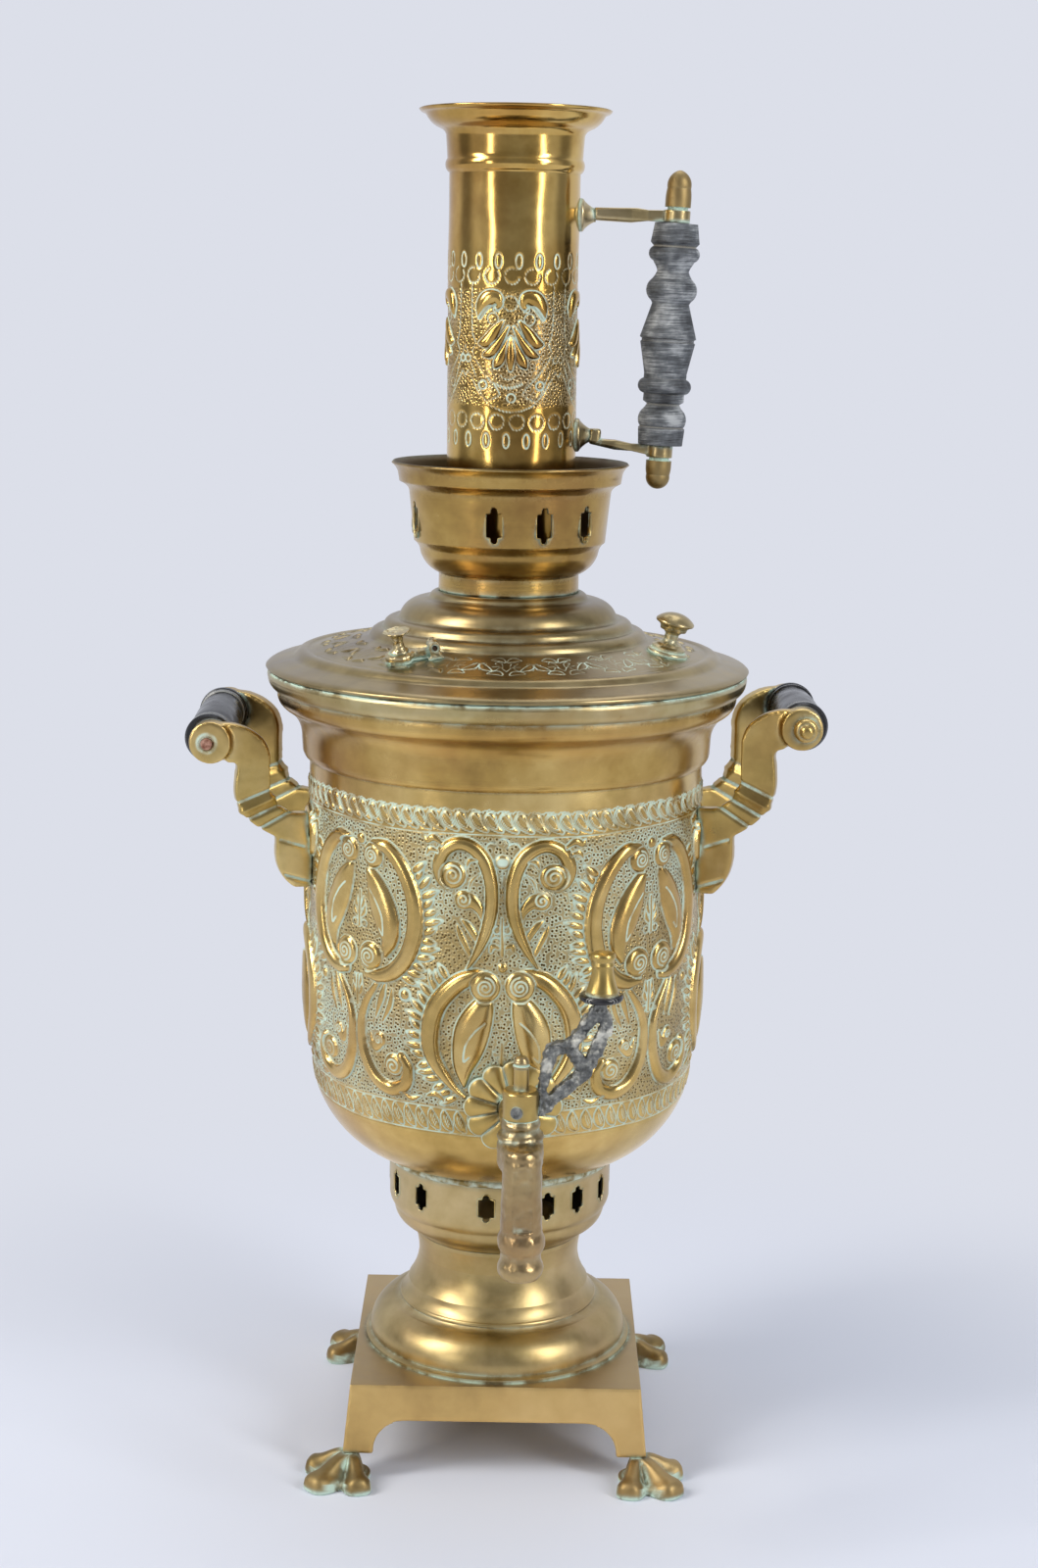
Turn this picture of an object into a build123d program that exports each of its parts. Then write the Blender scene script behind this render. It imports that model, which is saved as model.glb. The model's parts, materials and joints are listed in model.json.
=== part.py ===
from build123d import *
import os
from math import atan2, cos, degrees, hypot, pi, radians, sin, tan

# A charcoal samovar with a lift-off lid, crown and chimney, a tap and three turned grips.
# Millimetres, +Z up. The tap points to -Y, the side handles to -X and +X.
# The origin is on the floor, under the middle of the whole object's box.

# ---------------------------------------------------------------- driving dimensions
SHEET = 1.2                 # spun and raised sheet brass
SLIP = 0.4                  # radial gap where one sheet piece lifts off another
SEAT_GAP = 0.3              # gap between a piece that moves and the piece it rests on
PIN_FIT = 0.06              # radial running fit of pins, rods and the tap's plug

PLINTH_SIDE = 142.0         # square top of the plinth
PLINTH_HEIGHT = 48.0        # floor to the plinth's top
PLINTH_WALL = 3.0
PLINTH_FLARE = 3.4          # how far each side has spread where the legs end
LEG_WIDTH = 15.0
APRON_DEPTH = 18.0
ARCH_RADIUS = 15.0
PAW_HEIGHT = 13.5
TOE_LENGTH = 28.0
TOE_RADIUS = 6.2
TOE_SPREAD = 58.0           # degrees between neighbouring toes

PEDESTAL_HEIGHT = 57.0
PEDESTAL_FOOT_R = 67.4
PEDESTAL_NECK_R = 40.4
DRAUGHT_RING_R = 55.6
DRAUGHT_RING_HEIGHT = 40.0
RING_NECK_R = 41.8
SOLDER_RING_HEIGHT = 3.2
RING_VENT = (7.8, 14.0)     # width and height of an air hole in the draught ring
CROWN_VENT = (7.6, 17.0)    # the same in the crown

TANK_R = 97.8               # widest, a little above the bottom curve
TANK_TOP_R = 96.3
TANK_HEIGHT = 200.0
TANK_CURVE_HEIGHT = 34.0
TANK_LIP = 11.0             # wall hidden inside the neck collar
FIELD_FOOT = 48.0           # tank bottom to the foot of the chased field
FIELD_MARGIN = 17.5         # head of the field to the neck collar
MOTIF_PAIRS = 4             # two motifs by turns round the tank
MOTIF_TURN = 0.6            # degrees that the front motif stands to the right
RELIEF = 1.9                # how far the main bands are raised from inside
BAND_WIDTH = 5.8
LOBE_WIDTH = 9.4
FIRE_POT_R = 50.0
FIRE_TUBE_R = 29.6
FIRE_TUBE_HEIGHT = 325.0
COLLAR_HEIGHT = 34.2
COLLAR_R = 112.1
RIM_RING_R = 116.7
RIM_RING_HEIGHT = 9.2
LID_R = 117.6
LID_HEIGHT = 38.2
LID_SKIRT_DEPTH = 9.0

CROWN_HEIGHT = 61.1
CROWN_R = 48.6
CROWN_RIM_R = 57.2
CROWN_NECK_R = 34.0
SEAT_RING_LEVEL = 7.4       # the chimney's seat above the crown's foot
CHIMNEY_HEIGHT = 216.8
CHIMNEY_WALL = 1.0
CHIMNEY_RIM_R = 45.4

GRIP_LENGTH = 104.0         # wooden grip of the chimney
GRIP_SWELL_R = 13.5
GRIP_LEAN = 2.8             # degrees that the chimney's grip leans inwards at its foot
GRIP_REACH = 43.2           # chimney wall to the rod, at the middle of the grip
GRIP_MIDDLE = 114.2         # chimney's foot to the middle of the grip
CHIMNEY_ROD_R = 2.2
ARM_SIZE = 5.8

HANDLE_REACH = 44.5         # tank wall to the side grip's rod
HANDLE_SPAN = 74.0          # between the middles of a pair of brackets, at the rod
HANDLE_SPLAY = 16.0         # degrees that each bracket turns out from the X axis
HANDLE_FOOT = 138.4         # tank bottom to the lowest point of a bracket
HANDLE_RISE = {"right_front": 84.0, "right_rear": 84.0, "left_front": 73.0, "left_rear": 77.5}
BRACKET_THICK = 8.0
LOBE_R = 10.2
LOBE_THICK = 9.0            # a bracket's eye, along the rod
SIDE_ROD_R = 2.7
SIDE_GRIP_R = 11.8
SIDE_NUT_R = 5.6
SIDE_NUT_LENGTH = 8.6
PEEN_LENGTH = 1.6           # rod left standing to be hammered over, on the left

TAP_AZIMUTH = 3.8           # degrees that the tap stands to the right of straight ahead
TAP_LEVEL = 51.0            # tap's axis above the tank's bottom
TAP_REACH = 148.0           # samovar's axis to the plug's axis
SPOUT_STEP = 15.0           # plug's axis to the spout's axis
BARREL_R = 8.2
PLUG_TAIL_R = 2.6
PLUG_NUT_R = 5.0
PLUG_NUT_THICK = 3.0
SPOUT_R = 8.8
FACET_DEPTH = 1.2           # flat on the front of the spout
MOUTH_BORE_R = 5.0
SPOUT_DROP = 57.0           # tap's axis down to the mouth
WATERWAY_R = 3.4
BACK_NUT_R = 9.0            # holds the tap from inside the tank
BACK_NUT_DEPTH = 10.0       # tank's widest radius to the nut's inner face
ROSETTE_R = 23.4
ROSETTE_THICK = 3.4
PETALS = 12
PLUG_R = 5.4
PLUG_TAPER = 0.7
KEY_OUT = 34.8              # plug's axis to the middle of the key's knob
KEY_RISE = 66.6             # tap's axis up to the washer under that knob
BRANCH_WIDTH = 5.4
WASHER_R = 9.3
WASHER_THICK = 3.0

KNOB_ON_LID_R = 82.0        # lid's axis to the knob
KNOB_AZIMUTH = 68.0         # degrees from straight ahead, to the right
VENT_AZIMUTH = -35.0
FLAP_ARM = 16.0
VENT_ON_LID_R = 85.0        # lid's axis to the steam vent
TIP_R = 0.5                 # small flat at the top of each turned dome

# ---------------------------------------------------------------- levels, from the floor up
PEDESTAL_Z = PLINTH_HEIGHT
RING_Z = PEDESTAL_Z + PEDESTAL_HEIGHT
TANK_Z = RING_Z + DRAUGHT_RING_HEIGHT + SOLDER_RING_HEIGHT
COLLAR_Z = TANK_Z + TANK_HEIGHT
RIM_RING_Z = COLLAR_Z + COLLAR_HEIGHT
LID_Z = RIM_RING_Z + RIM_RING_HEIGHT + SEAT_GAP
TAP_Z = TANK_Z + TAP_LEVEL
CROWN_Z = LID_Z + LID_HEIGHT + SEAT_GAP
CHIMNEY_Z = CROWN_Z + SEAT_RING_LEVEL + SHEET + SEAT_GAP
PIPE_BORE_R = FIRE_TUBE_R + SLIP
PIPE_R = PIPE_BORE_R + CHIMNEY_WALL

NODES = {}                  # every sub-part by its name


# ---------------------------------------------------------------- outlines and solids of revolution
def stretches(outline):
    """Start, middle and end of each stretch; a point's third number is its arc's bulge.

    Outlines run from the foot up, or from the rim in, and a positive bulge swells outwards.
    """
    result = []
    for start, end in zip(outline, outline[1:]):
        middle = None
        if len(end) == 3:
            run, rise = end[0] - start[0], end[1] - start[1]
            length = hypot(run, rise)
            middle = ((start[0] + end[0]) / 2 + rise / length * end[2],
                      (start[1] + end[1]) / 2 - run / length * end[2])
        result.append((start[:2], middle, end[:2]))
    return result


def outline_edges(outline):
    edges = []
    for start, middle, end in stretches(outline):
        points = [Vector(r, 0, z) for r, z in (p for p in (start, middle, end) if p)]
        edges.append(Line(*points) if middle is None else ThreePointArc(*points))
    return edges


def headings(start, middle, end):
    """Directions, in radians, in which a stretch sets out and arrives."""
    chord = atan2(end[1] - start[1], end[0] - start[0])
    if middle is None:
        return chord, chord
    half = hypot(end[0] - start[0], end[1] - start[1]) / 2
    across = (middle[0] - (start[0] + end[0]) / 2) * sin(chord) \
        - (middle[1] - (start[1] + end[1]) / 2) * cos(chord)
    turn = 2 * atan2(across, half)
    return chord - turn, chord + turn


def inset(outline, depth):
    """The outline moved inwards by depth, as start, middle and end of each stretch."""
    parts = stretches(outline)
    heads = [headings(*part) for part in parts]
    corners = []
    for i in range(len(parts) + 1):
        before = heads[max(i - 1, 0)][1 if i > 0 else 0]
        after = heads[min(i, len(parts) - 1)][0 if i < len(parts) else 1]
        half_turn = ((after - before + pi) % (2 * pi) - pi) / 2
        mean = before + half_turn
        reach = depth / cos(half_turn)
        at = parts[i][0] if i < len(parts) else parts[-1][2]
        corners.append((at[0] - reach * sin(mean), at[1] + reach * cos(mean)))
    moved = []
    for i, (start, middle, end) in enumerate(parts):
        if middle is not None:
            chord = atan2(end[1] - start[1], end[0] - start[0])
            middle = (middle[0] - depth * sin(chord), middle[1] + depth * cos(chord))
        moved.append((corners[i], middle, corners[i + 1]))
    return moved


def spun(outline, sheet=SHEET):
    """A thin piece spun from sheet, from its outer outline."""
    outer = outline_edges(outline)
    inner = []
    for start, middle, end in inset(outline, sheet):
        points = [Vector(r, 0, z) for r, z in (p for p in (start, middle, end) if p)]
        inner.append(Line(*points) if middle is None else ThreePointArc(*points))
    caps = [Line(outer[0] @ 0, inner[0] @ 0), Line(outer[-1] @ 1, inner[-1] @ 1)]
    return revolve(Face(Wire(outer + inner + caps)), Axis.Z)


def turned(outline):
    """A solid turned piece: the outline closed along the axis."""
    edges = outline_edges(outline)
    corners = [edges[-1] @ 1, Vector(0, 0, outline[-1][1]), Vector(0, 0, outline[0][1]), edges[0] @ 0]
    edges += [Line(a, b) for a, b in zip(corners, corners[1:]) if (a - b).length > 1e-6]
    return revolve(Face(Wire(edges)), Axis.Z)


def ring(outline):
    """A ring with a closed section."""
    edges = outline_edges(outline + [outline[0][:2]])
    return revolve(Face(Wire(edges)), Axis.Z)


def tube(outer, inner, bottom, top):
    return ring([(inner, bottom), (outer, bottom), (outer, top), (inner, top)])


def rod_along(radius, start, end):
    """A round bar from one point to another."""
    start, end = Vector(*start), Vector(*end)
    return Plane(origin=start, z_dir=end - start).location * Cylinder(
        radius, (end - start).length, align=(Align.CENTER, Align.CENTER, Align.MIN))


def lifted(shape, height):
    return Pos(0, 0, height) * shape


def add(name, shape):
    NODES[name] = shape


# ---------------------------------------------------------------- plinth and paws
def pyramid(side, spread, bottom, top):
    """A square block whose sides spread towards its foot."""
    upper = Plane.XY.offset(top) * Rectangle(side, side)
    lower = Plane.XY.offset(bottom) * Rectangle(side + 2 * spread, side + 2 * spread)
    return loft([lower, upper])


LEG_FOOT_Z = PAW_HEIGHT
LEG_DROP = PLINTH_HEIGHT - LEG_FOOT_Z
SPREAD_SIDE = PLINTH_SIDE + 2 * PLINTH_FLARE
PLINTH_HOLE_R = PEDESTAL_NECK_R - 4.0


def make_plinth():
    block = pyramid(PLINTH_SIDE, PLINTH_FLARE, LEG_FOOT_Z, PLINTH_HEIGHT)
    hollow = pyramid(PLINTH_SIDE - 2 * PLINTH_WALL, PLINTH_FLARE, LEG_FOOT_Z, PLINTH_HEIGHT)
    block -= hollow & Box(2 * SPREAD_SIDE, 2 * SPREAD_SIDE, PLINTH_HEIGHT - PLINTH_WALL,
                          align=(Align.CENTER, Align.CENTER, Align.MIN))
    arch_top = PLINTH_HEIGHT - APRON_DEPTH
    arch_width = SPREAD_SIDE - 2 * LEG_WIDTH
    arch = Box(arch_width, 2 * SPREAD_SIDE, arch_top, align=(Align.CENTER, Align.CENTER, Align.MIN))
    arch = fillet(arch.edges().filter_by(Axis.Y).group_by(Axis.Z)[-1], ARCH_RADIUS)
    block -= arch
    block -= Rot(0, 0, 90) * arch
    block -= lifted(Cylinder(PLINTH_HOLE_R, 20), PLINTH_HEIGHT)
    return block


def toe(length, radius):
    """One toe along +X: a bullet that slopes down to the floor."""
    tip = length - radius * 0.9
    bullet = turned([(0, 0), (radius * 1.05, 0), (radius, tip * 0.6), (radius * 0.9, tip, 0.2),
                     (TIP_R, length, 1.6)])
    slope = degrees(atan2(PAW_HEIGHT * 0.52 - radius * 0.72, length))
    return Pos(0, 0, PAW_HEIGHT * 0.52) * Rot(0, 90 + slope, 0) * bullet


def make_paw():
    """A three-toed paw whose middle toe points to +X, cut flat at the floor and under the leg."""
    paw = lifted(Sphere(TOE_RADIUS * 1.75), PAW_HEIGHT * 0.35)
    for turn, stretch in ((0, 1.0), (TOE_SPREAD, 0.78), (-TOE_SPREAD, 0.78)):
        paw += Rot(0, 0, turn) * toe(TOE_LENGTH * stretch, TOE_RADIUS)
    room = Box(200, 200, PAW_HEIGHT, align=(Align.CENTER, Align.CENTER, Align.MIN))
    return paw & room


PAW_AT = SPREAD_SIDE / 2 - LEG_WIDTH * 0.42


def add_foot():
    add("plinth", make_plinth())
    paw = make_paw()
    for name, turn in (("front_left", 225), ("front_right", 315), ("rear_left", 135), ("rear_right", 45)):
        reach = PAW_AT * 2 ** 0.5
        corner = (reach * cos(radians(turn)), reach * sin(radians(turn)), 0)
        add("paw_" + name, Pos(*corner) * Rot(0, 0, turn) * paw)


# ---------------------------------------------------------------- pedestal and draught ring
def add_pedestal():
    foot, neck, top = PEDESTAL_FOOT_R, PEDESTAL_NECK_R, PEDESTAL_HEIGHT
    outline = [(foot, 0), (foot, 1.8), (foot - 2.6, 3.0), (foot - 13.6, 19.4, 3.6),
               (foot - 17.6, 21.4, -0.5), (foot - 18.4, 23.6, 0.5), (neck + 5.2, 30.0, -0.6),
               (neck, 45.0, -1.1), (RING_NECK_R, top - 2.0, -0.3), (RING_NECK_R, top)]
    add("pedestal", lifted(spun(outline, 1.6), PEDESTAL_Z))

    side, height = DRAUGHT_RING_R, DRAUGHT_RING_HEIGHT
    cup = spun([(RING_NECK_R - 3.4, 0.0), (RING_NECK_R, 0.0), (RING_NECK_R + 2.6, 4.0, -0.3),
                (side - 2.2, 14.0, 2.6), (side, 19.0, 0.4), (side, height)])
    for azimuth in RING_VENT_AZIMUTHS:
        cup -= Rot(0, 0, azimuth) * vent_cutter(side, RING_VENT, 28.6)
    add("draught_ring", lifted(cup, RING_Z))

    bead = SOLDER_RING_HEIGHT
    add("base_solder_ring", lifted(
        ring([(FIRE_POT_R + 1.0, 0), (side + 1.6, 0), (side + 2.0, bead, 1.2), (FIRE_POT_R + 1.0, bead)]),
        RING_Z + height))


# The draught ring's holes were set out by eye: degrees from straight ahead, to the right.
RING_VENT_AZIMUTHS = (-67.5, -43.7, -6.2, 25.5, 44.4, 66.2, 94, 122, 150, 178, 208, 238, 266)
CROWN_VENT_FIRST = -8.6
CROWN_VENT_STEP = 29.0


def vent_cutter(radius, size, level):
    """A cartouche hole in the wall at -Y: an oblong with a round lobe above and below."""
    width, height = size
    lobe = width * 0.29
    oblong = Rectangle(width, height - 3.2 * lobe)
    sketch = oblong + Rectangle(width * 0.74, height - 2 * lobe)
    sketch += Pos(0, height / 2 - lobe) * Circle(lobe) + Pos(0, lobe - height / 2) * Circle(lobe)
    cutter = extrude(Plane.XZ * sketch, 16.0, both=True)
    return Pos(0, -radius, level) * cutter


# ---------------------------------------------------------------- tank
TANK_OUTLINE = [(FIRE_POT_R, 0), (DRAUGHT_RING_R + 2.8, 0), (TANK_R - 5.4, TANK_CURVE_HEIGHT, 5.4),
                (TANK_R, TANK_CURVE_HEIGHT + 52, 1.35), (TANK_TOP_R, TANK_HEIGHT),
                (TANK_TOP_R, TANK_HEIGHT + TANK_LIP)]


def tank_core(extra=0.0):
    """The whole tank as a solid, its wall moved out by extra."""
    edges = []
    for start, middle, end in inset(TANK_OUTLINE, -extra):
        points = [Vector(r, 0, z) for r, z in (p for p in (start, middle, end) if p)]
        edges.append(Line(*points) if middle is None else ThreePointArc(*points))
    foot, head = edges[0] @ 0, edges[-1] @ 1
    edges += [Line(foot, Vector(0, 0, foot.Z)), Line(Vector(0, 0, foot.Z), Vector(0, 0, head.Z)),
              Line(Vector(0, 0, head.Z), head)]
    return lifted(revolve(Face(Wire(edges)), Axis.Z), TANK_Z)


# Right half of each motif: widths, and runs of (across, above the field's foot[, bulge outwards]).
# They are drawn for a field 134.5 mm high on a tank of 97.8 mm radius.
DRAWN_HEIGHT = 134.5
DRAWN_R = 97.8
SCROLL_MOTIF = [
    (BAND_WIDTH, [(17.5, 9.5), (35.2, 38, 4.5), (10, 67, 7.5)]),
    (BAND_WIDTH, [(16.5, 71), (4.8, 101, -1.4), (13, 126.6, -3.4), (30.8, 118, -5.0), (22, 112, 3.0)]),
    (LOBE_WIDTH, [(11.5, 48), (15.2, 31)]),
]
LYRE_MOTIF = [
    (BAND_WIDTH, [(9, 60), (33.4, 80, 6.3), (31.4, 105, 1.5), (10, 123.4, 5.2)]),
    (BAND_WIDTH, [(9.4, 51), (3.4, 34, -0.8), (12, 9.5, -2.8), (29.6, 12.6, 5.2), (26, 24)]),
    (LOBE_WIDTH, [(10.6, 101), (17.6, 86)]),
]


def raised_bands(motif, azimuth):
    """Both halves of a motif as bars that stand out through the wall, straight ahead of its middle."""
    drawn_field = (TANK_HEIGHT - FIELD_FOOT - FIELD_MARGIN) / DRAWN_HEIGHT
    bars = []
    for width, runs in motif:
        path = []
        for start, middle, end in stretches(runs):
            points = []
            for across, up in (p for p in (start, middle, end) if p):
                points.append(Vector(TANK_R * sin(across / DRAWN_R), FIELD_FOOT + up * drawn_field))
            path.append(Line(*points) if middle is None else ThreePointArc(*points))
        outline = Face(Wire(path).offset_2d(width / 2, side=Side.BOTH))
        bar = extrude(Plane.XZ * outline, TANK_R + 10)
        bars += [bar, bar.mirror(Plane.YZ)]
    return [Rot(0, 0, azimuth) * bar for bar in bars]


def make_raised_field():
    """Every raised band of the tank's ornament, from the middle of the sheet to its crest."""
    layer = tank_core(RELIEF) - tank_core(-SHEET / 2)
    turn = 360 / MOTIF_PAIRS
    bars = raised_bands(SCROLL_MOTIF, MOTIF_TURN) + raised_bands(LYRE_MOTIF, MOTIF_TURN + turn / 2)
    pair = [layer & lifted(bar, TANK_Z) for bar in bars]
    return [Rot(0, 0, turn * i) * band for i in range(MOTIF_PAIRS) for band in pair]


RAISED_FIELD = make_raised_field()


def add_tank():
    tap_hole = rod_along(WATERWAY_R + 1.6, (0, 0, TAP_Z), (0, -TANK_R - 10, TAP_Z))
    add("tank_shell", lifted(spun(TANK_OUTLINE), TANK_Z) + RAISED_FIELD - Rot(0, 0, TAP_AZIMUTH) * tap_hole)

    pot_height = 32.0
    cone_height = 46.0
    flue = spun([(FIRE_POT_R, 0), (FIRE_POT_R, pot_height), (FIRE_TUBE_R, pot_height + cone_height),
                 (FIRE_TUBE_R, FIRE_TUBE_HEIGHT)], 1.5)
    add("fire_tube", lifted(flue, TANK_Z))

    grate = Cylinder(FIRE_POT_R - 1.5, 3.0, align=(Align.CENTER, Align.CENTER, Align.MIN))
    for radius, count in ((0, 1), (12, 6), (24, 12), (36, 18)):
        for i in range(count):
            spot = Rot(0, 0, 360 / count * i) * Pos(radius, 0, 0)
            grate -= spot * Cylinder(3.0, 20)
    add("fire_grate", lifted(grate, TANK_Z + 2.0))

    inner, foot = TANK_TOP_R, COLLAR_R - 14.6
    collar = ring([(inner, 0.6), (foot, 0.6), (foot + 2.3, 4.5, 0.5), (foot + 2.7, 12.0),
                   (COLLAR_R - 3.9, 25.3, -2.0), (COLLAR_R, 33.0, 1.3), (COLLAR_R, COLLAR_HEIGHT),
                   (COLLAR_R - 6.5, COLLAR_HEIGHT), (COLLAR_R - 8.0, 27.5), (foot + 1.0, TANK_LIP + 3.0),
                   (inner, TANK_LIP + 1.0)])
    add("neck_collar", lifted(collar, COLLAR_Z))

    out = RIM_RING_R
    rim = ring([(LID_R - 14.0, 0), (out - 4.0, 0), (out, 6.0, 1.0), (out - 0.8, RIM_RING_HEIGHT, 0.5),
                (LID_R - 14.0, RIM_RING_HEIGHT)])
    add("tank_rim_ring", lifted(rim, RIM_RING_Z))


# ---------------------------------------------------------------- lid and its fittings
# Engraved band of the lid: its outer and inner radius, and height above the lid's foot.
BAND_OUT = (LID_R - 21.8, 9.2)
BAND_IN = (LID_R - 49.1, 15.7)
BAND_SLOPE = degrees(atan2(BAND_IN[1] - BAND_OUT[1], BAND_OUT[0] - BAND_IN[0]))


def lid_outline():
    top, neck = LID_HEIGHT, CROWN_NECK_R
    return [(LID_R - 2.0, 0.0), (LID_R, 1.5, 0.4), (LID_R - 3.2, 3.5, 0.3), (LID_R - 12.0, 5.8),
            (LID_R - 14.6, 7.2, -0.3), (BAND_OUT[0] + 1.6, 9.6, 1.1), BAND_OUT + (-0.2,), BAND_IN,
            (BAND_IN[0] - 1.2, BAND_IN[1] + 1.4, -0.3), (BAND_IN[0] - 6.3, 20.6, 1.0),
            (BAND_IN[0] - 7.8, 21.1, -0.2), (neck + 21.8, 25.2, 1.3), (neck + 19.2, 25.6, -0.2),
            (neck + 8.6, top - 3.6, 2.2), (neck + 4.6, top - 2.9, -0.2), (neck + 1.4, top, 0.6),
            (PIPE_BORE_R, top)]


def on_lid(azimuth, radius):
    """A frame on the engraved band: Z leaves the lid squarely, X points away from its axis."""
    turn = radians(azimuth)
    outward = Vector(sin(turn), -cos(turn), 0)
    drop = (radius - BAND_IN[0]) * tan(radians(BAND_SLOPE))
    origin = outward * radius + Vector(0, 0, LID_Z + BAND_IN[1] - drop + 0.2)
    normal = outward * sin(radians(BAND_SLOPE)) + Vector(0, 0, cos(radians(BAND_SLOPE)))
    along = outward * cos(radians(BAND_SLOPE)) - Vector(0, 0, sin(radians(BAND_SLOPE)))
    return Plane(origin=origin, x_dir=along, z_dir=normal)


def add_lid():
    knob_frame = on_lid(KNOB_AZIMUTH, KNOB_ON_LID_R)
    vent_frame = on_lid(VENT_AZIMUTH, VENT_ON_LID_R)
    knob_stud_r, vent_bore = 2.0, 3.4

    lid = lifted(spun(lid_outline()), LID_Z)
    lid -= knob_frame.location * Cylinder(knob_stud_r, 20)
    lid -= vent_frame.location * Cylinder(vent_bore, 20)
    add("lid", lid)
    skirt_r = LID_R - 14.0 - SLIP
    add("lid_skirt", lifted(tube(skirt_r, skirt_r - SHEET, 0, LID_SKIRT_DEPTH + 2.0),
                            LID_Z - LID_SKIRT_DEPTH + 3.2))

    knob = turned([(0, 0), (9.3, 0), (9.3, 1.6, 0.3), (8.0, 2.2), (8.0, 3.6), (6.6, 4.4), (5.6, 5.4),
                   (3.3, 7.2, -0.4), (3.3, 10.0), (6.2, 12.0, -0.4), (6.6, 13.6), (8.8, 15.2, -0.2),
                   (8.8, 16.8, 0.4), (TIP_R, 20.2, 0.9)])
    stud_end = -SHEET - 6.0
    knob += lifted(Cylinder(knob_stud_r, -stud_end, align=(Align.CENTER, Align.CENTER, Align.MIN)), stud_end)
    add("lid_knob", knob_frame.location * knob)
    nut = Cylinder(5.0, 3.0) - Cylinder(knob_stud_r, 10)
    add("lid_knob_nut", knob_frame.location * (Pos(0, 0, -SHEET - 2.4) * nut))
    add_vent(vent_frame, vent_bore)


def vent_hinge_frame(vent_frame):
    """The flap's own frame: X from the vent to the hinge, which lies along Y."""
    normal = vent_frame.z_dir
    towards_hinge = Vector(0.98, 0.2, 0)
    along = (towards_hinge - normal * towards_hinge.dot(normal)).normalized()
    return Plane(origin=vent_frame.origin, x_dir=along, z_dir=normal)


HINGE_LEVEL = 5.6           # hinge pin above the lid
HINGE_PIN_R = 1.1
VENT_SEAT_HEIGHT = 2.0
FLAP_THICK = 2.8
KNUCKLE_R = 2.6


def add_vent(vent_frame, vent_bore):
    place = vent_hinge_frame(vent_frame).location
    pin_line = Pos(FLAP_ARM, 0, HINGE_LEVEL) * Rot(90, 0, 0)
    seat = Cylinder(5.4, VENT_SEAT_HEIGHT, align=(Align.CENTER, Align.CENTER, Align.MIN))
    seat -= Cylinder(vent_bore, 20)
    foot = Pos(FLAP_ARM, 0, 0.6) * Box(7.0, 9.6, 1.2)
    foot += Pos(FLAP_ARM / 2, 0, 0.6) * Box(FLAP_ARM, 3.0, 1.2) - Cylinder(5.0, 20)
    for side in (-1, 1):
        ear = Pos(FLAP_ARM, side * 3.9, HINGE_LEVEL) * Rot(90, 0, 0) * Cylinder(KNUCKLE_R, 1.8)
        ear += Pos(FLAP_ARM, side * 3.9, HINGE_LEVEL / 2) * Box(4.6, 1.8, HINGE_LEVEL)
        foot += ear
    foot -= pin_line * Cylinder(HINGE_PIN_R, 20)
    add("vent_seat", place * (seat + foot))
    add("vent_hinge_pin", place * (pin_line * Cylinder(HINGE_PIN_R, 11.0)))

    disc_z = VENT_SEAT_HEIGHT + SEAT_GAP
    flap = turned([(0, disc_z), (6.8, disc_z), (6.8, disc_z + 2.2, 0.2), (5.6, disc_z + FLAP_THICK)])
    knuckle = pin_line * Cylinder(KNUCKLE_R, 5.4)
    arm = Pos(FLAP_ARM / 2, 0, disc_z + 1.6) * Box(FLAP_ARM, 4.4, 2.2)
    flap += knuckle + arm
    flap -= pin_line * Cylinder(HINGE_PIN_R + PIN_FIT, 20)
    add("vent_flap", place * flap)
    knob_z = disc_z + FLAP_THICK
    vase = turned([(0, 0), (4.2, 0), (3.9, 1.2, 0.2), (2.5, 4.6, -0.5), (2.7, 7.6), (3.4, 8.6),
                   (6.4, 9.8, -0.4), (6.2, 10.6), (0, 9.6)])
    add("vent_flap_knob", place * (Pos(0, 0, knob_z) * vase))
    return place


# ---------------------------------------------------------------- crown and chimney
def add_crown():
    wall, rim, neck = CROWN_R, CROWN_RIM_R, CROWN_NECK_R
    bowl = spun([(neck, 0), (neck, 8.6), (wall - 5.8, 17.6, 1.4), (wall - 5.1, 20.7),
                 (wall - 2.4, 24.0, -0.3), (wall, 47.0), (wall + 0.8, 49.6, -0.2), (wall + 4.8, 52.4, -0.3),
                 (wall + 5.5, CROWN_HEIGHT - 4.3), (rim, CROWN_HEIGHT, -0.4)])
    for group in range(3):
        for i in range(3):
            azimuth = CROWN_VENT_FIRST + 120 * group + CROWN_VENT_STEP * i
            bowl -= Rot(0, 0, azimuth) * vent_cutter(wall - 1.0, CROWN_VENT, 35.0)
    add("crown_bowl", lifted(bowl, CROWN_Z))
    add("crown_seat_ring", lifted(tube(neck - SHEET, PIPE_BORE_R, 0, SHEET), CROWN_Z + SEAT_RING_LEVEL))


def add_chimney():
    top, pipe, rim = CHIMNEY_HEIGHT, PIPE_R, CHIMNEY_RIM_R
    add("chimney_pipe", lifted(spun([
        (pipe, 0), (pipe, top - 29.0), (pipe + 1.9, top - 25.6, 0.5), (pipe + 1.0, top - 22.4, 0.3),
        (pipe + 1.3, top - 17.0), (pipe + 1.7, top - 11.5), (pipe + 4.5, top - 8.6, -0.5),
        (rim - 3.3, top - 2.6, 0.9), (rim - 1.3, top - 1.5, -0.2), (rim, top, 0.2)],
        CHIMNEY_WALL), CHIMNEY_Z))
    add_chimney_handle()


def grip_frame():
    """Frame of the chimney's rod: origin at the foot of the wooden grip, Z up along the rod."""
    middle = Vector(PIPE_R + GRIP_REACH, 0, CHIMNEY_Z + GRIP_MIDDLE)
    up = Vector(sin(radians(GRIP_LEAN)), 0, cos(radians(GRIP_LEAN)))
    return Plane(origin=middle - up * (GRIP_LENGTH / 2), x_dir=Vector(up.Z, 0, -up.X), z_dir=up)


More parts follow.
